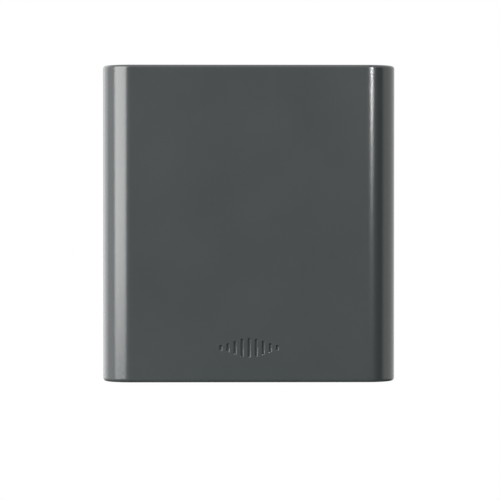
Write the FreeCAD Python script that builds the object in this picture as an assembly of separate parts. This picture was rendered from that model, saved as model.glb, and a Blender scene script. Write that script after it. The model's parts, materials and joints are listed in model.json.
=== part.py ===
"""Outdoor wall light that shines up and down a wall, on its wall bracket.

The lamp is a U-shaped extruded aluminium shell, closed at the top and the bottom by a recessed cap
with a glass window, and behind by a moulded tray. The tray's pocket drops over a folded bracket that
is screwed to the wall, and two set screws in the underside clamp it there.

Millimetres, +Z up, the front towards -Y, and the wall is the plane y = 0. The origin is the middle of
the bracket's two slots, on the wall. Pieces of the upper end are modelled in place, and those of the
lower end are the same pieces turned half a turn about the Y axis.
"""

import FreeCAD
import Part
import math
import os

V = FreeCAD.Vector
ORIGIN = V(0, 0, 0)
X_AXIS = V(1, 0, 0)
Y_AXIS = V(0, 1, 0)
Z_AXIS = V(0, 0, 1)
CUT = 1.0  # how far a cutting tool runs past the face that it leaves

# Whole lamp
WIDTH = 100.0
HEIGHT = 108.0
DEPTH = 38.0
HALF_W = WIDTH / 2
HALF_H = HEIGHT / 2
CORNER_R = 10.0

# Extruded shell
WALL = 2.2
SHELL_REAR = -1.0
REAR_CORNER_R = 1.5
END_EDGE_R = 1.0
LIP_T = 2.0
LIP_INNER_X = 41.0
INNER_X = HALF_W - WALL
INNER_FRONT = -DEPTH + WALL
INNER_REAR = SHELL_REAR - LIP_T
INNER_R = CORNER_R - WALL

# Recessed caps, their gaskets and windows
CAP_FACE_Z = HALF_H - 1.2
CAP_T = 3.4
CAP_GAP = 0.15
CAP_BACK_Z = CAP_FACE_Z - CAP_T
GASKET_T = 0.6
GASKET_GAP = 0.2
STACK_Z = CAP_BACK_Z - GASKET_T  # the rails, screw ports and tray all end here
TONGUE_HALF_W = 40.8
TONGUE_REAR = -1.2
WINDOW_Y = -24.5
WINDOW_HALF = (33.0, 7.5)
WINDOW_R = 3.0
GLASS_HALF = (35.2, 9.5)
GLASS_R = 4.0
GLASS_T = 3.0
GLASS_SEAL_T = 1.0
REBATE_GAP = 0.2
REBATE_Z = CAP_FACE_Z - 1.6
GLASS_TOP_Z = REBATE_Z - GLASS_SEAL_T
GLASS_BACK_Z = GLASS_TOP_Z - GLASS_T

# Screw ports of the extrusion, and the screws that hold the caps
FRONT_PORT = (43.4, -31.4)
REAR_PORT = (44.4, -6.0)
PORT_R = 3.4
PORT_HOLE_R = 1.25
CAP_SCREW_R = 1.2
CAP_SCREW_HEAD_R = 2.45
CAP_SCREW_CONE = 1.3
CAP_SCREW_L = 13.0
CAP_SCREW_SOCKET = 2.0
CAP_HOLE_R = 1.6

# Rails inside the extrusion, and the edges of the tray and the core plate that run in them
RAIL_GAP = 0.1
RAIL_T = 1.0
RAIL_DEPTH = 1.6
ROOT = 0.2  # how deep a rib or a rail is sunk in the wall that it grows from
TRAY_FLOOR_FRONT = -14.4
TRAY_FLOOR_REAR = -12.4
CORE_HALF_W = 39.0
HOOK_X = CORE_HALF_W + 0.4
TOE_X = CORE_HALF_W - 1.0

# Core plate: a folded channel that carries the light boards and spreads their heat to the front
CORE_T = 2.0
CORE_HALF_H = 31.0
CORE_REAR = -16.8
CORE_BEND_R = 3.0
CORE_WEB_REAR = INNER_FRONT + CORE_T
CORE_NOTCH = (0.3, 1.6)  # side clearance to the hooks' toes, and depth behind the web

# Light boards, light-emitting diodes and reflectors
PAD_T = 0.5
LED_BOARD_T = 1.6
LED_BOARD_Z = CORE_HALF_H + PAD_T
LED_BOARD_TOP = LED_BOARD_Z + LED_BOARD_T
LED_BOARD_HALF_Y = 7.5
LED_COUNT = 6
LED_PITCH = 10.0
LED_SIDE = 3.45
LED_BASE_T = 0.7
LED_DOME_R = 1.45
REFLECTOR_HALF = (34.5, 7.8)
REFLECTOR_R = 2.0
CUP_BOTTOM_R = 2.9
CUP_TOP_R = 4.8
BOARD_SCREW_X = 37.0
BOARD_HOLE_R = 1.35
BOARD_SCREW_R = 1.2
BOARD_SCREW_HEAD = (1.9, 1.5)  # radius and height

# Driver board and the parts soldered to it, as (x, z) places and sizes
DRIVER_HALF = (30.0, 20.0)
DRIVER_CORNER_R = 1.5
DRIVER_HOLE = (26.5, 16.5)
DRIVER_HOLE_R = 1.6
STANDOFF_L = 5.0
STANDOFF_R = 2.5
DRIVER_FRONT = CORE_WEB_REAR + STANDOFF_L
DRIVER_T = 1.6
DRIVER_REAR = DRIVER_FRONT + DRIVER_T
DRIVER_SCREW_R = 1.4
DRIVER_SCREW_L = 5.0
DRIVER_SCREW_HEAD = (2.6, 1.8)
INDUCTOR_PLACE = (-13.0, 0.0)
INDUCTOR_HALF = 6.0
INDUCTOR_T = 6.0
INDUCTOR_RING = (3.8, 4.6, 0.6)  # inner and outer radius of the round gap, and its depth
CAPACITOR_PLACES = ((2.0, 7.0), (11.0, 7.0), (2.0, -4.0))
CAPACITOR_R = 3.15
CAPACITOR_L = 7.7
CAPACITOR_FOOT_T = 1.0
CHIPS = (  # place, half width and half height, thickness
    ((12.0, -5.0), (3.0, 2.0), 1.6),
    ((20.0, -8.0), (3.3, 3.0), 2.3),
    ((11.0, -13.0), (2.2, 1.3), 2.0),
    ((-20.0, 12.0), (2.2, 1.3), 2.0),
    ((-12.0, 12.0), (2.2, 1.3), 2.0),
    ((-14.0, -11.0), (1.6, 0.8), 0.9),
    ((20.0, 0.0), (1.6, 0.8), 0.9),
)
PLUG_T = 5.0
OUTPUT_PLUG = ((23.5, 29.5), (8.6, 12.8))
SUPPLY_PLUG = ((-6.9, 6.9), (-19.6, -13.6))

# Internal wires
LEAD_R = 0.6
LEAD_Y = DRIVER_REAR + 3.0
LED_LEAD_BEND_R = 1.5
SUPPLY_LEAD_BEND_R = 3.0
LED_LEAD_X = (36.0, 37.9)
LED_LEAD_START_Z = (11.8, 9.6)
LED_LEAD_REAR = CORE_REAR + 1.1
LED_LEAD_RISE = 9.0
LED_LEAD_CREST = LED_BOARD_TOP + 5.5
LED_PAD_Y = -19.6

# Rear tray
TRAY_HALF_W = 40.7
TRAY_REAR = -1.2
TRAY_WALL = 2.0
TRAY_FLOOR_HALF_W = INNER_X - 0.2
POCKET_HALF_W = TRAY_HALF_W - TRAY_WALL
POCKET_HALF_H = 45.9
POCKET_R = 2.0
BEARING_X = (22.0, 32.0)
BEARING_Y = (-10.0, -3.0)
BEARING_GAP = 0.1
TRAY_RIB_X = (18.0, 19.2)
TRAY_RIB_Z = (-40.0, -8.0)
TRAY_RIB_T = 1.6

# Wall bracket
BRACKET_HALF_W = 38.0
BRACKET_HALF_H = 44.5
BRACKET_T = 2.0
BRACKET_CORNER_R = 4.0
FLANGE_HALF_W = 34.0
FLANGE_DEPTH = 10.0
BEND_R = 2.5
SLOT_SPACING = 60.0
SLOT_R = 2.5
SLOT_LENGTH = 10.0
CABLE_HOLE_R = 6.0

# Cable bushing
BUSHING_BORE_R = 3.2
BUSHING_FIT = 0.05
BUSHING_BACK = 0.3  # how far it stays inside the bracket's wall face
COLLAR_R = 8.0
COLLAR_T = 1.6
COLLAR_EDGE_R = 0.7

# Set screws that clamp the lamp to the bracket
LOCK_X = 28.0
LOCK_Y = -6.5
LOCK_R = 2.0
LOCK_LENGTH = 6.0
LOCK_TIP_GAP = 0.05
LOCK_TIP_CHAMFER = 0.4
LOCK_SOCKET = (2.0, 2.4)  # size across flats, and depth
INSERT_BORE_R = 2.05
INSERT_R = 2.9
LOCK_ACCESS_R = 2.6

# Supply terminal in the pocket
TERMINAL_Z = (-32.0, -16.0)
TERMINAL_HALF_W = 11.0
TERMINAL_REAR = -4.2
TERMINAL_EDGE_R = 0.8
TERMINAL_SEAL_T = 0.6
TERMINAL_FRONT = TRAY_FLOOR_REAR + TERMINAL_SEAL_T
POLE_X = 5.0
POLE_Z = -24.0
WIRE_Y = -8.5
WIRE_HOLE_R = 1.7
CAGE_HALF = (3.0, 2.4, 4.0)
CAGE_T = 1.0
CAGE_GAP = 0.1
PIN_R = 0.7
PIN_FRONT = TRAY_FLOOR_FRONT - 3.2
EAR_X = 14.0
EAR_HALF = (17.0, 3.0)
EAR_T = 2.0
EAR_SCREW_R = 0.85
EAR_HOLE_R = 1.25
EAR_SCREW_HEAD = (2.0, 1.4)
CLAMP_SCREW_R = 1.2
CLAMP_SCREW_HEAD = (1.9, 1.4)
CLAMP_SCREW_L = 2.2

# Pressure vent
VENT_X = 31.0
VENT_Z = 36.0
VENT_R = 4.5
VENT_T = 1.8
VENT_STEM_R = 2.9
VENT_BORE_R = 1.4

# Decorative grooves low on the front: a fan of upright slots, deepest in the middle
GROOVE_COUNT = 9
GROOVE_PITCH = 2.4
GROOVE_WIDTH = 0.9
GROOVE_DEPTH = 0.45
GROOVE_Z = -42.2
GROOVE_TALL = 6.6
GROOVE_SHORT = 1.9


def box(x, y, z):
    """A box from its (low, high) pairs along X, Y and Z."""
    return Part.makeBox(x[1] - x[0], y[1] - y[0], z[1] - z[0], V(x[0], y[0], z[0]))


def across(half):
    """The (low, high) pair that lies evenly about zero."""
    return (-half, half)


def rod(radius, start, axis, length):
    """A round bar of that length from a point along an axis."""
    return Part.makeCylinder(radius, length, V(*start), axis)


def hexagon(size, height):
    """A hexagonal prism along +Z from the origin, by its size across flats."""
    corner_r = size / math.sqrt(3)
    turns = [math.radians(60 * n) for n in range(7)]
    corners = [V(corner_r * math.cos(turn), corner_r * math.sin(turn), 0) for turn in turns]
    return Part.Face(Part.makePolygon(corners)).extrude(V(0, 0, height))


def edges_along(solid, axis, test):
    """The solid's straight edges along an axis whose middle passes the test."""
    found = []
    for edge in solid.Edges:
        way = edge.Vertexes[-1].Point.sub(edge.Vertexes[0].Point)
        straight = way.Length > 1e-6 and way.cross(axis).Length < 1e-6 * way.Length
        if straight and test(edge.CenterOfMass):
            found.append(edge)
    return found


def rounded(solid, radius, axis, test=lambda middle: True):
    """The solid with those of its edges rounded."""
    return solid.makeFillet(radius, edges_along(solid, axis, test))


def circles_at(solid, axis, place):
    """The solid's full circles whose middle lies at that place along an axis."""
    return [edge for edge in solid.Edges
            if edge.isClosed() and abs(edge.CenterOfMass.dot(axis) - place) < 1e-6]


def plate(centre, half, z, radius):
    """A flat plate with rounded corners: centre and half size in X and Y, and its (low, high) in Z."""
    x = (centre[0] - half[0], centre[0] + half[0])
    y = (centre[1] - half[1], centre[1] + half[1])
    return rounded(box(x, y, z), radius, Z_AXIS)


def mirrored(solid):
    """The solid and its mirror image across the plane x = 0."""
    return [solid, solid.mirror(ORIGIN, X_AXIS)]


def fuse(solids):
    """All these solids as one."""
    return solids[0].multiFuse(solids[1:]).removeSplitter()


def cut(solid, tools):
    """The solid with every tool taken away."""
    return solid.cut(Part.makeCompound(tools))


def turned_over(shape):
    """The same piece at the lower end: half a turn about the Y axis."""
    return shape.rotated(ORIGIN, Y_AXIS, 180)


def pan_screw(seat, axis, shank_r, shank_l, head):
    """A screw whose head stands on its seat, with its shank the other way: head is radius and height."""
    shank = rod(shank_r, V(*seat).sub(V(axis).multiply(shank_l)), axis, shank_l)
    return fuse([shank, rod(head[0], seat, axis, head[1])])


def rounded_path(points, radius):
    """Straight runs through the points, joined by tangent arcs of one radius."""
    edges = []
    start = points[0]
    for before, corner, after in zip(points, points[1:], points[2:]):
        back = before.sub(corner).normalize()
        ahead = after.sub(corner).normalize()
        half_turn = back.getAngle(ahead) / 2
        arm = radius / math.tan(half_turn)
        inward = back.add(ahead).normalize()
        centre = corner.add(inward.multiply(radius / math.sin(half_turn)))
        first = corner.add(V(back).multiply(arm))
        last = corner.add(V(ahead).multiply(arm))
        middle = centre.add(corner.sub(centre).normalize().multiply(radius))
        edges.append(Part.LineSegment(start, first).toShape())
        edges.append(Part.Arc(first, middle, last).toShape())
        start = last
    edges.append(Part.LineSegment(start, points[-1]).toShape())
    return Part.Wire(edges)


def lead(points, bend_r):
    """One insulated wire along a rounded path, its volume compared with section times length."""
    path = rounded_path([V(*point) for point in points], bend_r)
    first = path.Edges[0]
    ring = Part.Wire(Part.makeCircle(LEAD_R, V(*points[0]), first.tangentAt(first.FirstParameter)))
    solid = path.makePipeShell([ring], True, False)
    expected = math.pi * LEAD_R**2 * path.Length
    if abs(solid.Volume / expected - 1) > 0.01:
        raise ValueError(f"lead: volume {solid.Volume:.2f} against {expected:.2f}")
    return solid


def sleeve(half_w, y, z, front_r):
    """A box across the lamp's width with round upright corners in front."""
    middle = sum(y) / 2
    return rounded(box(across(half_w), y, z), front_r, Z_AXIS, lambda point: point.y < middle)


def grooves():
    """The cutters for the fan of upright slots in the front face."""
    middle = (GROOVE_COUNT - 1) / 2
    half = GROOVE_WIDTH / 2
    y = (-DEPTH - CUT, -DEPTH + GROOVE_DEPTH)
    tools = []
    for n in range(GROOVE_COUNT):
        x = (n - middle) * GROOVE_PITCH
        share = math.cos(math.pi / 2 * abs(n - middle) / middle) ** 1.5
        tall = GROOVE_SHORT + (GROOVE_TALL - GROOVE_SHORT) * share
        z = (GROOVE_Z - tall / 2 + half, GROOVE_Z + tall / 2 - half)
        slot = [box((x - half, x + half), y, z)]
        slot += [rod(half, (x, y[0], end), Y_AXIS, y[1] - y[0]) for end in z]
        tools.append(fuse(slot))
    return tools


def shell_rails():
    """The right side's screw ports, tray rails and core hook, all along the shell's length."""
    run = across(STACK_Z)
    rail_x = (INNER_X - RAIL_DEPTH, INNER_X + ROOT)
    front_rail = TRAY_FLOOR_FRONT - RAIL_GAP
    rear_rail = TRAY_FLOOR_REAR + RAIL_GAP
    hook_rear = CORE_WEB_REAR + RAIL_GAP + RAIL_T
    return [
        rod(PORT_R, (*FRONT_PORT, -STACK_Z), Z_AXIS, 2 * STACK_Z),
        box((LIP_INNER_X + ROOT, INNER_X + ROOT), (REAR_PORT[1] - PORT_R, INNER_REAR + ROOT), run),
        box(rail_x, (front_rail - RAIL_T, front_rail), run),
        box(rail_x, (rear_rail, rear_rail + RAIL_T), run),
        box((HOOK_X, HOOK_X + RAIL_T), (INNER_FRONT - ROOT, hook_rear), run),
        box((TOE_X, HOOK_X), (hook_rear - RAIL_T, hook_rear), run),
    ]


def outer_shell():
    """Extruded shell: front, sides, rear lips, screw ports and rails, with rounded ends."""
    outside = sleeve(HALF_W, (-DEPTH, SHELL_REAR), across(HALF_H), CORNER_R)
    outside = rounded(outside, REAR_CORNER_R, Z_AXIS,
                      lambda point: point.y > SHELL_REAR - 1e-6 and abs(point.x) > HALF_W - 1e-6)
    ends = [edge for edge in outside.Edges if abs(abs(edge.CenterOfMass.z) - HALF_H) < 1e-6]
    outside = outside.makeFillet(END_EDGE_R, ends)
    past = across(HALF_H + CUT)
    hollow = sleeve(INNER_X, (INNER_FRONT, INNER_REAR), past, INNER_R)
    mouth = box(across(LIP_INNER_X), (INNER_REAR - CUT, CUT), past)
    rails = [side for solid in shell_rails() for side in mirrored(solid)]
    body = fuse([cut(outside, [hollow, mouth])] + rails)
    holes = []
    for x, y in (FRONT_PORT, REAR_PORT):
        holes += mirrored(rod(PORT_HOLE_R, (x, y, -HALF_H - CUT), Z_AXIS, HEIGHT + 2 * CUT))
    return cut(body, holes + grooves())


def port_places():
    """The four screw ports' places in plan."""
    return [(side * x, y) for x, y in (FRONT_PORT, REAR_PORT) for side in (-1, 1)]


def lock_bars(radius, low, high):
    """Bars on the two set screws' axes between two heights."""
    return [rod(radius, (side * LOCK_X, LOCK_Y, low), Z_AXIS, high - low) for side in (-1, 1)]


def cap_outline(z, gap):
    """A cap or gasket between two heights: a sleeve inside the shell, with a tongue between its lips."""
    main = sleeve(INNER_X - gap, (INNER_FRONT + gap, INNER_REAR - gap), z, INNER_R - gap)
    tongue = box(across(TONGUE_HALF_W), (INNER_REAR - gap - CUT, TONGUE_REAR), z)
    return fuse([main, tongue])


def cap(lock_access):
    """End cap with its window, rebate and countersunk holes, and for the lower end two access holes."""
    low, high = CAP_BACK_Z - CUT, CAP_FACE_Z + CUT
    centre = (0, WINDOW_Y)
    rebate_half = [side + REBATE_GAP for side in GLASS_HALF]
    tools = [
        plate(centre, WINDOW_HALF, (low, high), WINDOW_R),
        plate(centre, rebate_half, (low, REBATE_Z), GLASS_R + REBATE_GAP),
    ]
    for x, y in port_places():
        tools.append(rod(CAP_HOLE_R, (x, y, low), Z_AXIS, high - low))
        cone_base = V(x, y, CAP_FACE_Z - CAP_SCREW_CONE)
        mouth_r = CAP_SCREW_HEAD_R + RAIL_GAP
        tools.append(Part.makeCone(CAP_HOLE_R, mouth_r, CAP_SCREW_CONE, cone_base, Z_AXIS))
    if lock_access:
        tools += lock_bars(LOCK_ACCESS_R, low, high)
    return cut(cap_outline((CAP_BACK_Z, CAP_FACE_Z), CAP_GAP), tools)


def cap_gasket(lock_access):
    """Die-cut sheet under a cap, open round the glass and at the screws."""
    low, high = STACK_Z - CUT, CAP_BACK_Z + CUT
    opening_half = (GLASS_HALF[0] + 1.8, GLASS_HALF[1] + 0.3)
    tools = [plate((0, WINDOW_Y), opening_half, (low, high), GLASS_R)]
    tools += [rod(CAP_HOLE_R, (x, y, low), Z_AXIS, high - low) for x, y in port_places()]
    if lock_access:
        tools += lock_bars(LOCK_ACCESS_R, low, high)
    return cut(cap_outline((STACK_Z, CAP_BACK_Z), GASKET_GAP), tools)


def cap_screws():
    """Four countersunk self-tapping screws with a hex socket."""
    solids = []
    for x, y in port_places():
        cone_base = V(x, y, CAP_FACE_Z - CAP_SCREW_CONE)
        head = Part.makeCone(CAP_SCREW_R, CAP_SCREW_HEAD_R, CAP_SCREW_CONE, cone_base, Z_AXIS)
        tip_z = CAP_FACE_Z - CAP_SCREW_L
        shank = rod(CAP_SCREW_R, (x, y, tip_z), Z_AXIS, CAP_SCREW_L - CAP_SCREW_CONE)
        socket = hexagon(CAP_SCREW_SOCKET, CAP_SCREW_CONE + CUT).translated(cone_base)
        solids.append(fuse([head, shank]).cut(socket))
    return Part.makeCompound(solids)


def window_glass():
    """Toughened glass plate behind a cap's window."""
    return plate((0, WINDOW_Y), GLASS_HALF, (GLASS_BACK_Z, GLASS_TOP_Z), GLASS_R)


def glass_seal():
    """Silicone frame between the glass and the cap's ledge."""
    outline = plate((0, WINDOW_Y), GLASS_HALF, (GLASS_TOP_Z, REBATE_Z), GLASS_R)
    inner_half = [side + REBATE_GAP for side in WINDOW_HALF]
    return outline.cut(plate((0, WINDOW_Y), inner_half, (GLASS_TOP_Z - CUT, REBATE_Z + CUT), WINDOW_R))


def led_places():
    """The diodes' places along the light board."""
    first = -LED_PITCH * (LED_COUNT - 1) / 2
    return [first + n * LED_PITCH for n in range(LED_COUNT)]


def reflector():
    """Moulded bar with one conical cup for each diode, from the light board up to the glass."""
    tall = GLASS_BACK_Z - LED_BOARD_TOP
    bar = plate((0, WINDOW_Y), REFLECTOR_HALF, (LED_BOARD_TOP, GLASS_BACK_Z), REFLECTOR_R)
    bases = [V(x, WINDOW_Y, LED_BOARD_TOP) for x in led_places()]
    return cut(bar, [Part.makeCone(CUP_BOTTOM_R, CUP_TOP_R, tall, base, Z_AXIS) for base in bases])


def leds():
    """Surface-mounted diodes: a square base with a clear dome on each."""
    half = LED_SIDE / 2
    z = (LED_BOARD_TOP, LED_BOARD_TOP + LED_BASE_T)
    solids = []
    for x in led_places():
        base = box((x - half, x + half), (WINDOW_Y - half, WINDOW_Y + half), z)
        dome = Part.makeSphere(LED_DOME_R, V(x, WINDOW_Y, z[1]), Z_AXIS, 0, 90, 360)
        solids.append(fuse([base, dome]))
    return Part.makeCompound(solids)


def board_sheet(z):
    """The light board's or its thermal pad's rectangle between two heights, with two fixing holes."""
    y = (WINDOW_Y - LED_BOARD_HALF_Y, WINDOW_Y + LED_BOARD_HALF_Y)
    hole = rod(BOARD_HOLE_R, (BOARD_SCREW_X, WINDOW_Y, z[0] - CUT), Z_AXIS, z[1] - z[0] + 2 * CUT)
    return cut(box(across(CORE_HALF_W), y, z), mirrored(hole))


def board_screws():
    """Two pan-head screws that hold a light board to the core plate."""
    seat = (BOARD_SCREW_X, WINDOW_Y, LED_BOARD_TOP)
    shank_l = LED_BOARD_TOP - CORE_HALF_H + CORE_T + 1.2
    return Part.makeCompound(mirrored(pan_screw(seat, Z_AXIS, BOARD_SCREW_R, shank_l, BOARD_SCREW_HEAD)))


def core_plate():
    """Channel folded from aluminium sheet: a web on the shell's front wall and a shelf at each end."""
    outside = box(across(CORE_HALF_W), (INNER_FRONT, CORE_REAR), across(CORE_HALF_H))
    outside = rounded(outside, CORE_BEND_R, X_AXIS, lambda point: point.y < INNER_FRONT + 1e-6)
    inside = box(across(CORE_HALF_W + CUT), (CORE_WEB_REAR, CORE_REAR + CUT), across(CORE_HALF_H - CORE_T))
    inside = rounded(inside, CORE_BEND_R - CORE_T, X_AXIS, lambda point: point.y < CORE_WEB_REAR + 1e-6)
    toe_room, notch_depth = CORE_NOTCH
    notch_y = (CORE_WEB_REAR, CORE_WEB_REAR + notch_depth)
    notches = mirrored(box((TOE_X - toe_room, HOOK_X), notch_y, across(CORE_HALF_H + CUT)))
    screw_holes = mirrored(rod(PORT_HOLE_R, (BOARD_SCREW_X, WINDOW_Y, -HALF_H), Z_AXIS, HEIGHT))
    return cut(outside, [inside] + notches + screw_holes)


def driver_corners():
    """The four places where the driver board stands on its standoffs, as (x, z)."""
    x, z = DRIVER_HOLE
    return [(side * x, end * z) for side in (-1, 1) for end in (-1, 1)]


def driver_standoffs():
    """Four tubes between the core plate's web and the driver board."""
    solids = []
    for x, z in driver_corners():
        tube = rod(STANDOFF_R, (x, CORE_WEB_REAR, z), Y_AXIS, STANDOFF_L)
        bore = rod(DRIVER_SCREW_R + BUSHING_FIT, (x, CORE_WEB_REAR - CUT, z), Y_AXIS, STANDOFF_L + 2 * CUT)
        solids.append(tube.cut(bore))
    return Part.makeCompound(solids)


def driver_board():
    """Circuit board of the constant-current driver, with four fixing holes."""
    sheet = box(across(DRIVER_HALF[0]), (DRIVER_FRONT, DRIVER_REAR), across(DRIVER_HALF[1]))
    holes = [rod(DRIVER_HOLE_R, (x, DRIVER_FRONT - CUT, z), Y_AXIS, DRIVER_T + 2 * CUT)
             for x, z in driver_corners()]
    return cut(rounded(sheet, DRIVER_CORNER_R, Y_AXIS), holes)


def driver_screws():
    """Four pan-head screws with a cross recess, through the driver board into the standoffs."""
    arm, half = 1.4, 0.3
    y = (DRIVER_REAR + DRIVER_SCREW_HEAD[1] / 2, DRIVER_REAR + DRIVER_SCREW_HEAD[1] + CUT)
    solids = []
    for x, z in driver_corners():
        screw = pan_screw((x, DRIVER_REAR, z), Y_AXIS, DRIVER_SCREW_R, DRIVER_SCREW_L, DRIVER_SCREW_HEAD)
        cross = [
            box((x - arm, x + arm), y, (z - half, z + half)),
            box((x - half, x + half), y, (z - arm, z + arm)),
        ]
        solids.append(cut(screw, cross))
    return Part.makeCompound(solids)


def driver_inductor():
    """Shielded power inductor: a square ferrite frame round a drum core."""
    x, z = INDUCTOR_PLACE
    top = DRIVER_REAR + INDUCTOR_T
    half = INDUCTOR_HALF
    frame = rounded(box((x - half, x + half), (DRIVER_REAR, top), (z - half, z + half)), 2.0, Y_AXIS)
    inner_r, outer_r, deep = INDUCTOR_RING
    gap = rod(outer_r, (x, top - deep, z), Y_AXIS, deep + CUT)
    return frame.cut(gap.cut(rod(inner_r, (x, top - deep - CUT, z), Y_AXIS, deep + 3 * CUT)))


def driver_capacitors():
    """Electrolytic capacitors, each a can on a square foot."""
    solids = []
    foot_half = CAPACITOR_R + 0.15
    foot_y = (DRIVER_REAR, DRIVER_REAR + CAPACITOR_FOOT_T)
    for x, z in CAPACITOR_PLACES:
        can = rod(CAPACITOR_R, (x, foot_y[1], z), Y_AXIS, CAPACITOR_L - CAPACITOR_FOOT_T)
        can = can.makeFillet(0.5, circles_at(can, Y_AXIS, DRIVER_REAR + CAPACITOR_L))
        foot = box((x - foot_half, x + foot_half), foot_y, (z - foot_half, z + foot_half))
        solids.append(fuse([can, foot]))
    return Part.makeCompound(solids)


def driver_chips():
    """Controller, switch, rectifier diodes and small blocks soldered to the driver board."""
    solids = []
    for (x, z), (half_x, half_z), tall in CHIPS:
        y = (DRIVER_REAR, DRIVER_REAR + tall)
        solids.append(box((x - half_x, x + half_x), y, (z - half_z, z + half_z)))
    return Part.makeCompound(solids)


def driver_plugs():
    """Wire connectors of the driver board: one for each light board and one for the supply."""
    y = (DRIVER_REAR, DRIVER_REAR + PLUG_T)
    output = box(OUTPUT_PLUG[0], y, OUTPUT_PLUG[1])
    return Part.makeCompound([output, turned_over(output), box(SUPPLY_PLUG[0], y, SUPPLY_PLUG[1])])


def led_leads():
    """Two wires from the driver board, behind the core plate's shelf and down on to the light board."""
    pair = []
    for x, z in zip(LED_LEAD_X, LED_LEAD_START_Z):
        points = [
            (OUTPUT_PLUG[0][1], LEAD_Y, z),
            (x, LEAD_Y, z),
            (x, LED_LEAD_REAR, z + LED_LEAD_RISE),
            (x, LED_LEAD_REAR, LED_LEAD_CREST),
            (x, LED_PAD_Y, LED_LEAD_CREST),
            (x, LED_PAD_Y, LED_BOARD_TOP),
        ]
        pair.append(lead(points, LED_LEAD_BEND_R))
    return Part.makeCompound(pair)


def supply_leads():
    """Two wires from the terminal's pins to the driver board's supply plug."""
    points = [
        (POLE_X, PIN_FRONT, POLE_Z),
        (POLE_X, LEAD_Y, POLE_Z),
        (POLE_X, LEAD_Y, SUPPLY_PLUG[1][0]),
    ]
    return Part.makeCompound(mirrored(lead(points, SUPPLY_LEAD_BEND_R)))


def through_floor(radius, x, z):
    """A cutter through the tray's floor."""
    return rod(radius, (x, TRAY_FLOOR_FRONT - CUT, z), Y_AXIS, TRAY_FLOOR_REAR - TRAY_FLOOR_FRONT + 2 * CUT)


def pocket_space(y):
    """The room that the tray leaves round the bracket."""
    return rounded(box(across(POCKET_HALF_W), y, across(POCKET_HALF_H)), POCKET_R, Y_AXIS)


def rear_tray():
    """Moulded tray that closes the shell behind and drops over the wall bracket."""
    length = across(STACK_Z)
    floor = box(across(TRAY_FLOOR_HALF_W), (TRAY_FLOOR_FRONT, TRAY_FLOOR_REAR), length)
    rim = box(across(TRAY_HALF_W), (TRAY_FLOOR_FRONT, TRAY_REAR), length)
    hollow = fuse([floor, rim]).cut(pocket_space((TRAY_FLOOR_REAR, CUT)))
    bearing_z = (BRACKET_HALF_H + BEARING_GAP, POCKET_HALF_H + ROOT)
    rib_y = (TRAY_FLOOR_REAR - ROOT, TRAY_FLOOR_REAR + TRAY_RIB_T)
    blocks = mirrored(box(BEARING_X, BEARING_Y, bearing_z)) + mirrored(box(TRAY_RIB_X, rib_y, TRAY_RIB_Z))
    holes = lock_bars(INSERT_R, -HALF_H, -POCKET_HALF_H + ROOT)
    holes += mirrored(through_floor(PIN_R + 0.3, POLE_X, POLE_Z))
    holes += mirrored(through_floor(EAR_SCREW_R + BUSHING_FIT, EAR_X, POLE_Z))
    holes.append(through_floor(VENT_STEM_R + BUSHING_FIT, VENT_X, VENT_Z))
    return cut(fuse([hollow] + blocks), holes)


def wall_seal():
    """Foam loop on the tray's rim, pressed against the wall."""
    outline = box(across(TRAY_HALF_W), (TRAY_REAR, 0.0), across(STACK_Z))
    return outline.cut(pocket_space((TRAY_REAR - CUT, CUT)))


def lock_inserts():
    """Threaded brass bushes for the set screws, heat-set in the tray's underside."""
    outer = lock_bars(INSERT_R, -STACK_Z, -POCKET_HALF_H)
    bores = lock_bars(INSERT_BORE_R, -HALF_H, 0)
    return Part.makeCompound([bush.cut(bore) for bush, bore in zip(outer, bores)])


def vent_plug():
    """Pressure vent: a domed cap on a hollow stem that snaps through the tray's floor."""
    stem_front = TRAY_FLOOR_FRONT - 0.8
    stem_l = TRAY_FLOOR_REAR - stem_front
    disc = rod(VENT_R, (VENT_X, TRAY_FLOOR_REAR, VENT_Z), Y_AXIS, VENT_T)
    disc = disc.makeFillet(0.6, circles_at(disc, Y_AXIS, TRAY_FLOOR_REAR + VENT_T))
    stem = rod(VENT_STEM_R, (VENT_X, stem_front, VENT_Z), Y_AXIS, stem_l)
    bore = rod(VENT_BORE_R, (VENT_X, stem_front - CUT, VENT_Z), Y_AXIS, CUT + stem_l + VENT_T / 3)
    return fuse([disc, stem]).cut(bore)


def supply_terminal():
    """Two-pole terminal block: wire holes in its top, clamp screws reached from behind."""
    body = box(across(TERMINAL_HALF_W), (TERMINAL_FRONT, TERMINAL_REAR), TERMINAL_Z)
    body = rounded(body, TERMINAL_EDGE_R, X_AXIS, lambda point: point.y > TERMINAL_REAR - 1e-6)
    ear_y = (TERMINAL_FRONT, TERMINAL_FRONT + EAR_T)
    ears = box(across(EAR_HALF[0]), ear_y, (POLE_Z - EAR_HALF[1], POLE_Z + EAR_HALF[1]))
    half_x, half_y, half_z = [side + CAGE_GAP for side in CAGE_HALF]
    room = box((POLE_X - half_x, POLE_X + half_x), (WIRE_Y - half_y, WIRE_Y + half_y),
               (POLE_Z - half_z, POLE_Z + half_z))
    tools = mirrored(room)
    tools += mirrored(rod(WIRE_HOLE_R, (POLE_X, WIRE_Y, POLE_Z), Z_AXIS, 20.0))
    tools += mirrored(rod(CLAMP_SCREW_HEAD[0] + 0.3, (POLE_X, WIRE_Y, POLE_Z), Y_AXIS, 10.0))
    tools += mirrored(rod(PIN_R + BUSHING_FIT, (POLE_X, TERMINAL_FRONT - CUT, POLE_Z), Y_AXIS, 5.0))
    tools += mirrored(rod(EAR_HOLE_R, (EAR_X, TERMINAL_FRONT - CUT, POLE_Z), Y_AXIS, 5.0))
    return cut(fuse([body, ears]), tools)


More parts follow.
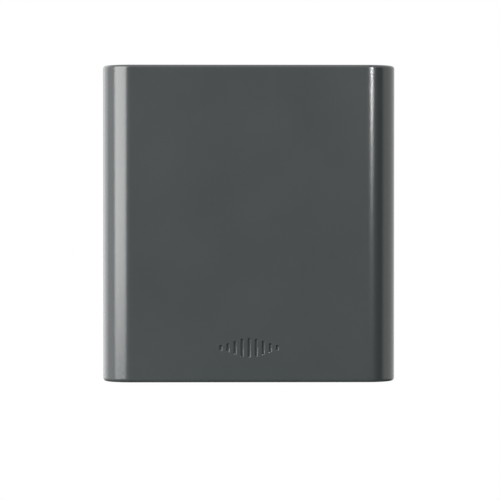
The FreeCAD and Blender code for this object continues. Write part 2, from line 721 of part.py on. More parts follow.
def terminal_seal():
    """Flat gasket between the terminal block and the tray's floor."""
    z = (POLE_Z - EAR_HALF[1], POLE_Z + EAR_HALF[1])
    sheet = box(across(EAR_HALF[0]), (TRAY_FLOOR_REAR, TERMINAL_FRONT), z)
    holes = mirrored(rod(PIN_R + BUSHING_FIT, (POLE_X, TRAY_FLOOR_REAR - CUT, POLE_Z), Y_AXIS, 3.0))
    holes += mirrored(rod(EAR_HOLE_R, (EAR_X, TRAY_FLOOR_REAR - CUT, POLE_Z), Y_AXIS, 3.0))
    return cut(sheet, holes)


def terminal_clamps():
    """Plated brass cages, each with its pin through the tray's floor."""
    half_x, half_y, half_z = CAGE_HALF
    outer = box((POLE_X - half_x, POLE_X + half_x), (WIRE_Y - half_y, WIRE_Y + half_y),
                (POLE_Z - half_z, POLE_Z + half_z))
    way_x, way_y = half_x - CAGE_T, half_y - CAGE_T
    way = box((POLE_X - way_x, POLE_X + way_x), (WIRE_Y - way_y, WIRE_Y + way_y),
              (POLE_Z - half_z - CUT, POLE_Z + half_z + CUT))
    pin = rod(PIN_R, (POLE_X, PIN_FRONT, POLE_Z), Y_AXIS, WIRE_Y - half_y + CAGE_T / 2 - PIN_FRONT)
    thread = rod(CLAMP_SCREW_R + BUSHING_FIT, (POLE_X, WIRE_Y, POLE_Z), Y_AXIS, half_y + CUT)
    return Part.makeCompound(mirrored(fuse([outer.cut(way), pin]).cut(thread)))


def clamp_screws():
    """Slotted screws that press the supply wires in the terminal's cages."""
    seat = (POLE_X, WIRE_Y + CAGE_HALF[1] + CAGE_GAP, POLE_Z)
    screw = pan_screw(seat, Y_AXIS, CLAMP_SCREW_R, CLAMP_SCREW_L, CLAMP_SCREW_HEAD)
    slot_y = (seat[1] + CLAMP_SCREW_HEAD[1] / 2, seat[1] + CLAMP_SCREW_HEAD[1] + CUT)
    slot = box((POLE_X - 3.0, POLE_X + 3.0), slot_y, (POLE_Z - 0.3, POLE_Z + 0.3))
    return Part.makeCompound(mirrored(screw.cut(slot)))


def terminal_screws():
    """Two screws that hold the terminal block to the tray."""
    seat = (EAR_X, TERMINAL_FRONT + EAR_T, POLE_Z)
    return Part.makeCompound(
        mirrored(pan_screw(seat, Y_AXIS, EAR_SCREW_R, seat[1] - TRAY_FLOOR_FRONT, EAR_SCREW_HEAD))
    )


def lock_screw(side):
    """One M4 set screw with a hex socket in its lower end, its tip against the bracket's lower flange."""
    shank = rod(LOCK_R, ORIGIN, Z_AXIS, LOCK_LENGTH)
    pointed = shank.makeChamfer(LOCK_TIP_CHAMFER, circles_at(shank, Z_AXIS, LOCK_LENGTH))
    low_z = -BRACKET_HALF_H - LOCK_TIP_GAP - LOCK_LENGTH
    return pointed.cut(hexagon(*LOCK_SOCKET)).translated(V(side * LOCK_X, LOCK_Y, low_z))


def wall_bracket():
    """Bracket folded from stainless sheet: a plate on the wall with a forward flange at each end."""
    sheet_half_h = BRACKET_HALF_H - BEND_R
    sheet = box(across(BRACKET_HALF_W), (-BRACKET_T, 0.0), across(sheet_half_h))
    sheet = rounded(sheet, BRACKET_CORNER_R, Y_AXIS)
    folded = box(across(FLANGE_HALF_W), (-FLANGE_DEPTH, 0.0), across(BRACKET_HALF_H))
    folded = rounded(folded, BEND_R, X_AXIS, lambda point: point.y > -1e-6)
    inside = box(across(BRACKET_HALF_W + CUT), (-FLANGE_DEPTH - CUT, -BRACKET_T),
                 across(BRACKET_HALF_H - BRACKET_T))
    inside = rounded(inside, BEND_R - BRACKET_T, X_AXIS, lambda point: point.y > -BRACKET_T - 1e-6)
    through = BRACKET_T + 2 * CUT
    holes = [rod(CABLE_HOLE_R, (0, -BRACKET_T - CUT, 0), Y_AXIS, through)]
    for side in (-1, 1):
        centre = side * SLOT_SPACING / 2
        reach = SLOT_LENGTH / 2 - SLOT_R
        ends = (centre - reach, centre + reach)
        slot = [box(ends, (-BRACKET_T - CUT, CUT), across(SLOT_R))]
        slot += [rod(SLOT_R, (x, -BRACKET_T - CUT, 0), Y_AXIS, through) for x in ends]
        holes.append(fuse(slot))
    return cut(fuse([sheet, folded]), [inside] + holes)


def cable_bushing():
    """Rubber bushing that lines the bracket's cable hole."""
    barrel = rod(CABLE_HOLE_R - BUSHING_FIT, (0, -BRACKET_T, 0), Y_AXIS, BRACKET_T - BUSHING_BACK)
    collar_front = -BRACKET_T - COLLAR_T
    collar = rod(COLLAR_R, (0, collar_front, 0), Y_AXIS, COLLAR_T)
    collar = collar.makeFillet(COLLAR_EDGE_R, circles_at(collar, Y_AXIS, collar_front))
    return fuse([barrel, collar]).cut(rod(BUSHING_BORE_R, (0, collar_front - CUT, 0), Y_AXIS, 10.0))


def end_pieces():
    """The pieces that both ends have, as modelled at the upper end."""
    return {
        "glass": window_glass(),
        "glass_seal": glass_seal(),
        "cap_screws": cap_screws(),
        "reflector": reflector(),
        "led_board": board_sheet((LED_BOARD_Z, LED_BOARD_TOP)),
        "thermal_pad": board_sheet((CORE_HALF_H, LED_BOARD_Z)),
        "leds": leds(),
        "board_screws": board_screws(),
        "led_leads": led_leads(),
    }


def pieces():
    """Every node's name with its shape."""
    made = {
        "wall_bracket": wall_bracket(),
        "cable_bushing": cable_bushing(),
        "outer_shell": outer_shell(),
        "upper_cap": cap(False),
        "lower_cap": turned_over(cap(True)),
        "upper_cap_gasket": cap_gasket(False),
        "lower_cap_gasket": turned_over(cap_gasket(True)),
        "core_plate": core_plate(),
        "driver_standoffs": driver_standoffs(),
        "driver_board": driver_board(),
        "driver_screws": driver_screws(),
        "driver_inductor": driver_inductor(),
        "driver_capacitors": driver_capacitors(),
        "driver_chips": driver_chips(),
        "driver_plugs": driver_plugs(),
        "supply_leads": supply_leads(),
        "rear_tray": rear_tray(),
        "wall_seal": wall_seal(),
        "lock_inserts": lock_inserts(),
        "vent_plug": vent_plug(),
        "supply_terminal": supply_terminal(),
        "terminal_seal": terminal_seal(),
        "terminal_clamps": terminal_clamps(),
        "clamp_screws": clamp_screws(),
        "terminal_screws": terminal_screws(),
        "lock_screw_left": lock_screw(-1),
        "lock_screw_right": lock_screw(1),
    }
    for name, shape in end_pieces().items():
        made["upper_" + name] = shape
        made["lower_" + name] = turned_over(shape)
    return made


os.makedirs("parts", exist_ok=True)
for node, shape in pieces().items():
    if not shape.isValid() or any(solid.Volume <= 0 for solid in shape.Solids):
        raise ValueError(f"{node} is not a sound solid")
    shape.exportStep(f"parts/{node}.step")
    print(f"{node}: {len(shape.Solids)} solid(s), {shape.Volume:.1f} mm3")
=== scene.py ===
"""Looks of a small outdoor wall light that shines up and down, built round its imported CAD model."""

import json
import math

import bmesh
import bpy
from mathutils import Matrix, Vector


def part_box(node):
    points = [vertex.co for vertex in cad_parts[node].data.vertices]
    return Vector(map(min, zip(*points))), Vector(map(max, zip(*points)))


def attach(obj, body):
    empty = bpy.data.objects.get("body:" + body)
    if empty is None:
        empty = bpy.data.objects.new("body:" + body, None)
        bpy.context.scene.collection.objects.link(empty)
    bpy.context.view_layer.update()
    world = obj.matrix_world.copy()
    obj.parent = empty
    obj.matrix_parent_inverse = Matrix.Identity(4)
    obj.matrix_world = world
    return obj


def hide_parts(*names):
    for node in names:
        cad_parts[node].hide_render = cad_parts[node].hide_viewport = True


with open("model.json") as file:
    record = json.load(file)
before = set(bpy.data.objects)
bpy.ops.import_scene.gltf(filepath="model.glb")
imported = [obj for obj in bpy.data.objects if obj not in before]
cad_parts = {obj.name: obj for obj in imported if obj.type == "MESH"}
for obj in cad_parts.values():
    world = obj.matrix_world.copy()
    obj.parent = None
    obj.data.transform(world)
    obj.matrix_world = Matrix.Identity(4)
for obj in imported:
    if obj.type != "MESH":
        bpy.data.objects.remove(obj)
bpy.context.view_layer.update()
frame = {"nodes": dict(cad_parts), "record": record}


# ---------------------------------------------------------------- camera
# A long lens, almost square on to the front. It stands a little to the left of the lamp's middle and a
# little above it, and aims low, so that the lamp is above the middle of the view.
MM = 0.001
shell_low, shell_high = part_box("outer_shell")
front_y = shell_low.y
camera_data = bpy.data.cameras.new("camera")
camera_data.sensor_width = 36.0
camera_data.lens = 181.7
camera = bpy.data.objects.new("camera", camera_data)
bpy.context.scene.collection.objects.link(camera)
camera_yaw = math.radians(0.9)
camera_reach = 857 * MM
camera.location = (
    -math.sin(camera_yaw) * camera_reach,
    front_y - math.cos(camera_yaw) * camera_reach,
    8 * MM,
)
aim = Vector((0.27 * MM, front_y, -8.93 * MM)) - camera.location
camera.rotation_mode = "QUATERNION"
camera.rotation_quaternion = aim.to_track_quat("-Z", "Y")
bpy.context.scene.camera = camera


# ---------------------------------------------------------------- powder coat
# Anthracite polyester powder, sprayed and stoved. It dries satin, with a fine grain that glitters where
# light grazes it and a slow orange peel under that. The extruded body and both caps carry it.
class Wire:
    """A node's output. Python's operators on it add Math nodes, and node() adds any other kind."""

    def __init__(self, tree, socket=None):
        self.tree = tree
        self.socket = socket

    def node(self, kind, settings=None, inputs=None, out=0):
        """A node of that kind with its settings, then its values and links; its chosen output comes back."""
        made = self.tree.nodes.new(kind)
        for name, value in (settings or {}).items():
            if name == "stops":
                for place, (position, colour) in enumerate(value):
                    ramp = made.color_ramp.elements
                    stop = ramp[place] if place < len(ramp) else ramp.new(position)
                    stop.position = position
                    stop.color = colour
            else:
                setattr(made, name, value)
        for key, value in (inputs or {}).items():
            if isinstance(value, Wire):
                self.tree.links.new(value.socket, made.inputs[key])
            else:
                made.inputs[key].default_value = value
        return Wire(self.tree, made.outputs[out])

    def math(self, operation, *values):
        """A Math node on these values."""
        return self.node("ShaderNodeMath", {"operation": operation}, dict(enumerate(values)))

    def __add__(self, other):
        return self.math("ADD", self, other)

    __radd__ = __add__

    def __mul__(self, other):
        return self.math("MULTIPLY", self, other)

    __rmul__ = __mul__

    def __sub__(self, other):
        return self.math("SUBTRACT", self, other)

    def __rsub__(self, other):
        return self.math("SUBTRACT", other, self)

    def __truediv__(self, other):
        return self.math("DIVIDE", self, other)

    def __pow__(self, other):
        return self.math("POWER", self, other)


def finish(name, **steady):
    """A new material: its Principled shader's steady values by socket name, and a wire to build on."""
    material = bpy.data.materials.new(name)
    material.use_nodes = True
    shader = material.node_tree.nodes["Principled BSDF"]
    for socket, value in steady.items():
        shader.inputs[socket.replace("_", " ")].default_value = value
    return material, shader, Wire(material.node_tree)


def grain(wire, size, detail=2.0, roughness=0.5, stretch=(1.0, 1.0, 1.0)):
    """Noise from 0 to 1 with features of a size in metres, longer along an axis where stretch is over 1."""
    place = wire.node("ShaderNodeTexCoord", out="Object")
    scale = [1 / (size * share) for share in stretch]
    place = wire.node("ShaderNodeMapping", inputs={"Vector": place, "Scale": scale})
    values = {"Vector": place, "Scale": 1.0, "Detail": detail, "Roughness": roughness}
    return wire.node("ShaderNodeTexNoise", inputs=values)


def tint(wire, share, dark, light):
    """A colour between two, by a share from 0 to 1."""
    mix = {"data_type": "RGBA"}
    return wire.node("ShaderNodeMix", mix, {0: share, 6: (*dark, 1.0), 7: (*light, 1.0)}, out=2)


def relief(wire, shader, height, depth, strength=1.0):
    """Bump of that depth in metres from a height of 0 to 1, linked to the shader's normal."""
    bump = wire.node("ShaderNodeBump", inputs={"Strength": strength, "Distance": depth, "Height": height})
    wire.tree.links.new(bump.socket, shader.inputs["Normal"])


def link(wire, shader, socket):
    """Links a wire to one of the shader's sockets."""
    wire.tree.links.new(wire.socket, shader.inputs[socket])


def powder_coat():
    """Satin anthracite powder with its grain, orange peel and a faint cloudiness."""
    material, shader, wire = finish("anthracite_powder", Specular_IOR_Level=0.5, IOR=1.5)
    fine = grain(wire, 0.30 * MM, detail=1.0)
    peel = grain(wire, 1.6 * MM, detail=1.0)
    cloud = grain(wire, 22 * MM, detail=2.0)
    mottle = tint(wire, fine * 0.25 + cloud * 0.75, (0.0205, 0.0242, 0.0246), (0.0268, 0.0308, 0.0313))
    link(mottle, shader, "Base Color")
    link(0.17 + fine * 0.04 + cloud * 0.03, shader, "Roughness")
    relief(wire, shader, fine * 0.7 + peel * 0.3, 0.022 * MM)
    return material


coat = powder_coat()


# ---------------------------------------------------------------- body
# The lamp's body is one aluminium extrusion, bent round the front and both sides, with two lips behind.
# It is sawn to length, its end edges are rounded over, and it is powder coated.
WALL = 2.2 * MM
CORNER_R = 10.0 * MM
REAR_CORNER_R = 1.5 * MM
END_EDGE_R = 1.0 * MM
LIP_T = 2.0 * MM
LIP_INNER_X = 41.0 * MM
SUPPORT = 0.4 * MM  # a narrow strip beside each rounding, which keeps the flat beyond it evenly lit
body_height = shell_high.z - shell_low.z


def drawn(corners, steps):
    """A closed outline from (x, y, radius) corners, with each corner rounded by an arc of that many steps."""
    points = []
    for place, (x, y, radius) in enumerate(corners):
        corner = Vector((x, y))
        back = (Vector(corners[place - 1][:2]) - corner).normalized()
        ahead = (Vector(corners[(place + 1) % len(corners)][:2]) - corner).normalized()
        if radius == 0:
            points.append(corner)
            continue
        half_turn = back.angle(ahead) / 2
        centre = corner + (back + ahead).normalized() * (radius / math.sin(half_turn))
        first = corner + back * (radius / math.tan(half_turn)) - centre
        last = corner + ahead * (radius / math.tan(half_turn)) - centre
        sweep = first.angle_signed(last)
        for step in range(steps + 1):
            turn = -sweep * step / steps
            cos, sin = math.cos(turn), math.sin(turn)
            points.append(centre + Vector((first.x * cos - first.y * sin, first.x * sin + first.y * cos)))
    return points


def inward(points):
    """For each point of an anticlockwise outline, the mitred vector that moves its edges inwards by one."""
    found = []
    for place, point in enumerate(points):
        before = (point - points[place - 1]).normalized()
        after = (points[(place + 1) % len(points)] - point).normalized()
        left_before = Vector((-before.y, before.x))
        left_after = Vector((-after.y, after.x))
        bisector = (left_before + left_after).normalized()
        found.append(bisector / max(bisector.dot(left_after), 0.3))
    return found


def piece(name, mesh, material, body, *nodes):
    """An object with that mesh and material, which rides on a body and stands for CAD nodes."""
    made = bpy.data.objects.new(name, mesh)
    bpy.context.scene.collection.objects.link(made)
    mesh.materials.clear()
    mesh.materials.append(material)
    for polygon in mesh.polygons:
        polygon.use_smooth = True
        polygon.material_index = 0
    mesh.set_sharp_from_angle(angle=math.radians(35))
    if nodes:
        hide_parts(*nodes)
    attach(made, body)
    return made


def tree_inputs(name, sizes):
    """A new geometry tree with a geometry in and out, and a float or whole-number input for each size."""
    tree = bpy.data.node_groups.new(name, "GeometryNodeTree")
    tree.interface.new_socket("Geometry", in_out="INPUT", socket_type="NodeSocketGeometry")
    tree.interface.new_socket("Geometry", in_out="OUTPUT", socket_type="NodeSocketGeometry")
    for size, value in sizes.items():
        kind = "NodeSocketInt" if isinstance(value, int) else "NodeSocketFloat"
        tree.interface.new_socket(size, in_out="INPUT", socket_type=kind).default_value = value
    source = tree.nodes.new("NodeGroupInput")
    wires = {socket.name: Wire(tree, socket) for socket in source.outputs if socket.name}
    return tree, wires


def close_tree(tree, geometry, material):
    """Ends a geometry tree: real geometry with its material, to the output."""
    real = geometry.node("GeometryNodeRealizeInstances", inputs={"Geometry": geometry})
    painted = real.node("GeometryNodeSetMaterial", inputs={"Geometry": real, "Material": material})
    out = tree.nodes.new("NodeGroupOutput")
    tree.links.new(painted.socket, out.inputs["Geometry"])


def grown(mesh, tree, sizes):
    """The mesh that a geometry tree makes from a mesh, with its inputs set by socket identifier."""
    carrier = bpy.data.objects.new("carrier", mesh)
    bpy.context.scene.collection.objects.link(carrier)
    modifier = carrier.modifiers.new("grow", "NODES")
    modifier.node_group = tree
    for socket in tree.interface.items_tree:
        if socket.in_out == "INPUT" and socket.name in sizes:
            modifier[socket.identifier] = sizes[socket.name]
    shown = carrier.evaluated_get(bpy.context.evaluated_depsgraph_get())
    made = bpy.data.meshes.new_from_object(shown)
    bpy.data.objects.remove(carrier)
    return made


def extrusion_tree():
    """Extrudes an outline along Z between rounded ends. Attribute inward says how each point draws in."""
    tree, wires = tree_inputs("extrusion", {"Height": body_height, "End radius": END_EDGE_R, "Steps": 6})
    outline, height, radius, steps = wires["Geometry"], wires["Height"], wires["End radius"], wires["Steps"]
    count = outline.node(
        "GeometryNodeAttributeDomainSize", {"component": "MESH"}, {"Geometry": outline}, "Point Count")
    rows = steps * 2 + 4
    grid = outline.node("GeometryNodeMeshGrid", inputs={"Vertices X": count + 1, "Vertices Y": rows})
    index = outline.node("GeometryNodeInputIndex")
    column = index.math("FLOOR", (index + 0.5) / rows)
    row = index - column * rows
    place = index.math("FLOORED_MODULO", column, count)
    end_row = index.math("MINIMUM", row, rows - 1 - row)
    turn = index.math("MINIMUM", end_row / steps, 1.0) * (math.pi / 2)
    beyond = index.math("GREATER_THAN", end_row, steps + 0.5) * SUPPORT
    drop = radius * (1 - index.math("COSINE", turn)) + beyond
    draw_in = radius * (1 - index.math("SINE", turn))
    side = index.math("GREATER_THAN", row, rows / 2 - 0.5) * 2 - 1
    position = outline.node("GeometryNodeInputPosition")
    inwards = outline.node(
        "GeometryNodeInputNamedAttribute", {"data_type": "FLOAT_VECTOR"}, {"Name": "inward"})

    def sampled(vector, point):
        """A vector as it is at a point of the outline."""
        return outline.node("GeometryNodeSampleIndex", {"data_type": "FLOAT_VECTOR", "domain": "POINT"}, {
            "Geometry": outline, "Value": vector, "Index": point})

    def bent(point, depth, up):
        """Where a point of the outline lies once it is drawn in and lifted."""
        base, way = sampled(position, point), sampled(inwards, point)
        step = outline.node("ShaderNodeVectorMath", {"operation": "SCALE"}, {0: way, "Scale": depth})
        moved = outline.node("ShaderNodeVectorMath", {"operation": "ADD"}, {0: base, 1: step})
        lift = outline.node("ShaderNodeCombineXYZ", inputs={"Z": up})
        return outline.node("ShaderNodeVectorMath", {"operation": "ADD"}, {0: moved, 1: lift})

    sides = outline.node("GeometryNodeSetPosition", inputs={
        "Geometry": grid, "Position": bent(place, draw_in, side * (height / 2 - drop))})
    ends = []
    for end in (-0.5, 0.5):
        ring = outline.node("GeometryNodeSetPosition", inputs={
            "Geometry": outline, "Position": bent(index, radius, height * end)})
        curve = outline.node("GeometryNodeMeshToCurve", inputs={"Mesh": ring})
        flat = outline.node("GeometryNodeSetPosition", inputs={
            "Geometry": outline.node("GeometryNodeFillCurve", {"mode": "NGONS"}, {"Curve": curve}),
            "Offset": outline.node("ShaderNodeCombineXYZ", inputs={"Z": height * end})})
        ends.append(outline.node("GeometryNodeFlipFaces", inputs={"Mesh": flat}) if end < 0 else flat)
    joined = outline.node("GeometryNodeJoinGeometry")
    for part in (sides, *ends):
        tree.links.new(part.socket, joined.socket.node.inputs[0])
    welded = outline.node("GeometryNodeMergeByDistance", inputs={"Geometry": joined, "Distance": 0.002 * MM})
    close_tree(tree, welded, coat)
    return tree


extrusion = extrusion_tree()


def outline_mesh(points, shares=None):
    """A closed ring of edges with the inward attribute, each point's vector scaled by its share."""
    mesh = bpy.data.meshes.new("outline")
    count = len(points)
    mesh.from_pydata([(p.x, p.y, 0) for p in points], [(n, (n + 1) % count) for n in range(count)], [])
    vectors = mesh.attributes.new("inward", "FLOAT_VECTOR", "POINT")
    for n, way in enumerate(inward(points)):
        share = 1.0 if shares is None else shares[n]
        vectors.data[n].vector = (way.x * share, way.y * share, 0)
    return mesh


def body_outline():
    """The extrusion's section and how far each point draws in at the ends: fully outside, barely inside."""
    left, right = shell_low.x, shell_high.x
    front, rear = shell_low.y, shell_high.y
    flat_x = right - CORNER_R - SUPPORT
    outside = drawn([
        (-LIP_INNER_X, rear, 0), (left, rear, REAR_CORNER_R), (left, front, CORNER_R),
        (-flat_x, front, 0), (flat_x, front, 0),
        (right, front, CORNER_R), (right, rear, REAR_CORNER_R), (LIP_INNER_X, rear, 0),
    ], 24)
    inside = drawn([
        (LIP_INNER_X, rear - LIP_T, 0), (right - WALL, rear - LIP_T, 0),
        (right - WALL, front + WALL, CORNER_R - WALL), (left + WALL, front + WALL, CORNER_R - WALL),
        (left + WALL, rear - LIP_T, 0), (-LIP_INNER_X, rear - LIP_T, 0),
    ], 24)
    return outside + inside, [1.0] * len(outside) + [0.15] * len(inside)


body_points, body_shares = body_outline()
body_mesh = grown(outline_mesh(body_points, body_shares), extrusion,
                  {"Height": body_height, "End radius": END_EDGE_R, "Steps": 6})


# Low on the front is a fan of nine upright grooves, pressed in before coating, so their lips are soft.
GROOVE_COUNT = 9
GROOVE_PITCH = 2.4 * MM
GROOVE_WIDTH = 0.9 * MM
GROOVE_DEPTH = 0.45 * MM
GROOVE_TALL = 6.6 * MM
GROOVE_SHORT = 1.9 * MM
GROOVE_Z = -42.2 * MM


def skin(bm, rings, joined=False):
    """Adds rings of points to a bmesh, with quads from each to the next, and gives back their vertices."""
    rows = [[bm.verts.new(point) for point in ring] for ring in rings]
    count = len(rows[0])
    follow = rows[1:] + rows[:1] if joined else rows[1:]
    for upper, lower in zip(rows, follow):
        for n in range(count):
            bm.faces.new((upper[n - 1], upper[n], lower[n], lower[n - 1]))
    return rows


def done(bm, name):
    """The bmesh as a mesh, with its faces turned outwards."""
    bmesh.ops.recalc_face_normals(bm, faces=bm.faces)
    mesh = bpy.data.meshes.new(name)
    bm.to_mesh(mesh)
    bm.free()
    return mesh


def stack(name, rings, ends=(True, True), joined=False):
    """A mesh of rings of points: its first and last ring closed by a face, or joined to each other."""
    bm = bmesh.new()
    rows = skin(bm, rings, joined)
    for row, closed in zip((rows[0], rows[-1]), ends):
        if closed and not joined:
            bm.faces.new(row)
    return done(bm, name)


def pit_mesh():
    """One round pit sunk along +Y from y = 0: a soft lip, a steep wall and a floor with a filleted foot."""
    half, lip, foot = GROOVE_WIDTH / 2, 0.12 * MM, 0.16 * MM
    profile = [(half + 2 * lip, 0.0)]
    for step in range(5):
        turn = math.pi / 2 * step / 4
        profile.append((half + lip * (1 - math.sin(turn)), lip * (1 - math.cos(turn))))
    for step in range(5):
        turn = math.pi / 2 * step / 4
        profile.append((half - foot * (1 - math.cos(turn)), GROOVE_DEPTH - foot * (1 - math.sin(turn))))
    turns = [2 * math.pi * (n + 0.5) / 24 for n in range(24)]
    ways = [(math.cos(turn), math.sin(turn)) for turn in turns]
    rings = [[(radius * across, deep, radius * up) for across, up in ways] for radius, deep in profile]
    return stack("pit", rings, ends=(False, True))


def groove_tree():
    """Sets copies of a pit side by side and stretches each upwards and downwards, tallest in the middle."""
    sizes = {"Count": GROOVE_COUNT, "Pitch": GROOVE_PITCH, "Width": GROOVE_WIDTH, "Tall": GROOVE_TALL,
             "Short": GROOVE_SHORT}
    tree, wires = tree_inputs("groove_fan", sizes)
    pit, count, pitch = wires["Geometry"], wires["Count"], wires["Pitch"]
    half_row = (count - 1) * pitch * 0.5
    start = pit.node("ShaderNodeCombineXYZ", inputs={"X": 0 - half_row})
    gap = pit.node("ShaderNodeCombineXYZ", inputs={"X": pitch})
    line = pit.node("GeometryNodeMeshLine", {"mode": "OFFSET"}, {
        "Count": count, "Start Location": start, "Offset": gap})
    set_out = pit.node("GeometryNodeInstanceOnPoints", inputs={"Points": line, "Instance": pit})
    real = pit.node("GeometryNodeRealizeInstances", inputs={"Geometry": set_out})
    place = pit.node("GeometryNodeInputPosition")
    x = place.node("ShaderNodeSeparateXYZ", inputs={"Vector": place}, out="X")
    z = place.node("ShaderNodeSeparateXYZ", inputs={"Vector": place}, out="Z")
    number = x.math("ABSOLUTE", x.math("ROUND", x / pitch))
    fade = x.math("COSINE", number / ((count - 1) * 0.5) * (math.pi / 2))
    share = x.math("MAXIMUM", fade, 0.0) ** 1.5
    tall = wires["Short"] + (wires["Tall"] - wires["Short"]) * share
    stretch = z.math("SIGN", z) * (tall - wires["Width"]) * 0.5
    offset = pit.node("ShaderNodeCombineXYZ", inputs={"Z": stretch})
    fan = pit.node("GeometryNodeSetPosition", inputs={"Geometry": real, "Offset": offset})
    close_tree(tree, fan, coat)
    return tree


fan_mesh = grown(pit_mesh(), groove_tree(), {
    "Count": GROOVE_COUNT, "Pitch": GROOVE_PITCH, "Width": GROOVE_WIDTH, "Tall": GROOVE_TALL,
    "Short": GROOVE_SHORT})


def with_fan(body, fan):
    """The body with its flat front opened and filled again round the fan of grooves."""
    bm = bmesh.new()
    bm.from_mesh(body)
    flat_front = max((face for face in bm.faces if face.normal.y < -0.99), key=lambda face: face.calc_area())
    rim = list(flat_front.edges)
    bm.faces.remove(flat_front)
    bm.normal_update()
    known = set(bm.verts)
    bm.from_mesh(fan)
    added = [vert for vert in bm.verts if vert not in known]
    bmesh.ops.translate(bm, verts=added, vec=(0, front_y, GROOVE_Z))
    bm.edges.ensure_lookup_table()
    loops = [edge for edge in bm.edges if edge.is_boundary and edge.verts[0] not in known]
    bmesh.ops.triangle_fill(bm, use_beauty=True, edges=rim + loops, normal=(0, -1, 0))
    bmesh.ops.recalc_face_normals(bm, faces=bm.faces)
    bm.to_mesh(body)
    bm.free()
    return body


body_piece = piece("body_extrusion", with_fan(body_mesh, fan_mesh), coat, "lamp_head", "outer_shell")


# ---------------------------------------------------------------- rails
# The same extrusion has four screw ports, rails that hold the tray and hooks that grip the core plate.
# They are milled back from both ends, so that the caps drop in, and only the ports are drilled.
def circle(x, y, radius, steps=24):
    """An anticlockwise ring of points."""
    turns = [2 * math.pi * n / steps for n in range(steps)]
    return [Vector((x + radius * math.cos(turn), y + radius * math.sin(turn))) for turn in turns]


def oblong(x, y, half_x, half_y, radius, steps=6):
    """An anticlockwise rectangle with rounded corners."""
    sides = [(-half_x, -half_y), (half_x, -half_y), (half_x, half_y), (-half_x, half_y)]
    return drawn([(x + across, y + along, radius) for across, along in sides], steps)


def level(points, z, inset=0.0):
    """A ring of points at a height, drawn in by an inset, or let out where that is negative."""
    moved = [point + way * inset for point, way in zip(points, inward(points))] if inset else points
    return [(point.x, point.y, z) for point in moved]


def wall(points, low, high, radius, hole=False, steps=3):
    """Rings from a plate's upper face, round its edge and down its side to its lower face."""
    turns = [math.pi / 2 * n / steps for n in range(steps + 1)]
    pairs = [(radius * 1.7, 0.0)]
    pairs += [(radius * (1 - math.sin(turn)), radius * (1 - math.cos(turn))) for turn in turns]
    side = -1 if hole else 1
    upper = [level(points, high - drop, side * inset) for inset, drop in pairs]
    lower = [level(points, low + drop, side * inset) for inset, drop in reversed(pairs)]
    return upper + lower


def plate(name, *loops):
    """A solid from loops of rings: its upper face spans the first ring of each, its lower face the last."""
    bm = bmesh.new()
    spans = ([], [])
    for rings in loops:
        rows = skin(bm, rings)
        for span, row in zip(spans, (rows[0], rows[-1])):
            span.extend(bm.edges.get((row[n - 1], row[n])) for n in range(len(row)))
    for span, up in zip(spans, (1, -1)):
        bmesh.ops.triangle_fill(bm, use_beauty=True, edges=span, normal=(0, 0, up))
    return done(bm, name)


def together(name, *meshes, mirror=False):
    """Meshes as one, with a mirrored copy across X where asked for."""
    bm = bmesh.new()
    for mesh in meshes:
        bm.from_mesh(mesh)
    if mirror:
        copy = bmesh.ops.duplicate(bm, geom=bm.verts[:] + bm.edges[:] + bm.faces[:])
        verts = [item for item in copy["geom"] if isinstance(item, bmesh.types.BMVert)]
        bmesh.ops.scale(bm, verts=verts, vec=(-1, 1, 1))
    return done(bm, name)


FRONT_PORT = (43.4 * MM, -31.4 * MM)
REAR_PORT = (44.4 * MM, -6.0 * MM)
rail_end = 48.8 * MM


def rail(left, right, front, rear):
    """A straight bar of the extrusion, all along its milled length."""
    half_x, half_y = (right - left) / 2 * MM, (rear - front) / 2 * MM
    outline = oblong((left + right) / 2 * MM, (front + rear) / 2 * MM, half_x, half_y, 0.15 * MM, 3)
    return plate("rail", wall(outline, -rail_end, rail_end, 0.08 * MM))


def ports():
    """A drilled port of each kind."""
    found = []
    for outline, place in ((circle(*FRONT_PORT, 3.4 * MM, 40), FRONT_PORT),
                           (oblong(44.6 * MM, -6.1 * MM, 3.4 * MM, 3.3 * MM, 0.4 * MM), REAR_PORT)):
        hole = wall(circle(*place, 1.25 * MM), -rail_end, rail_end, 0.15 * MM, hole=True)
        found.append(plate("port", wall(outline, -rail_end, rail_end, 0.08 * MM), hole))
    return found


rails = [rail(46.2, 48.0, -15.5, -14.5), rail(46.2, 48.0, -12.3, -11.3),
         rail(39.4, 40.4, -36.0, -32.7), rail(38.0, 40.3, -33.7, -32.7)]
rails_mesh = together("body_rails", *ports(), *rails, mirror=True)
rails_piece = piece("body_rails", rails_mesh, coat, "lamp_head", "outer_shell")


# ---------------------------------------------------------------- caps
# Each end is closed by a milled aluminium cap, coated like the body and sunk 1.2 mm below its rim. It has a
# window, a rebate for the glass behind that and four countersunk holes. The lower one also lets a key in.
cap_low, cap_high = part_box("upper_cap")
CAP_GAP = 0.15 * MM
WINDOW_Y = -24.5 * MM
WINDOW = (33.0 * MM, 7.5 * MM, 3.0 * MM)
REBATE = (35.4 * MM, 9.7 * MM, 4.2 * MM)
REBATE_Z = cap_high.z - 1.6 * MM
LOCK_X = 28.0 * MM
LOCK_Y = -6.5 * MM
TONGUE_X = 40.8 * MM


def cap_outline(gap, tongue_rear):
    """Round inside the body, with a tongue that reaches back between its lips."""
    side, front = shell_high.x - WALL - gap, shell_low.y + WALL + gap
    rear = shell_high.y - LIP_T - gap
    corner, small = CORNER_R - WALL - gap, 0.3 * MM
    return drawn([
        (-side, front, corner), (side, front, corner), (side, rear, small), (TONGUE_X, rear, 0),
        (TONGUE_X, tongue_rear, small), (-TONGUE_X, tongue_rear, small), (-TONGUE_X, rear, 0),
        (-side, rear, small),
    ], 12)


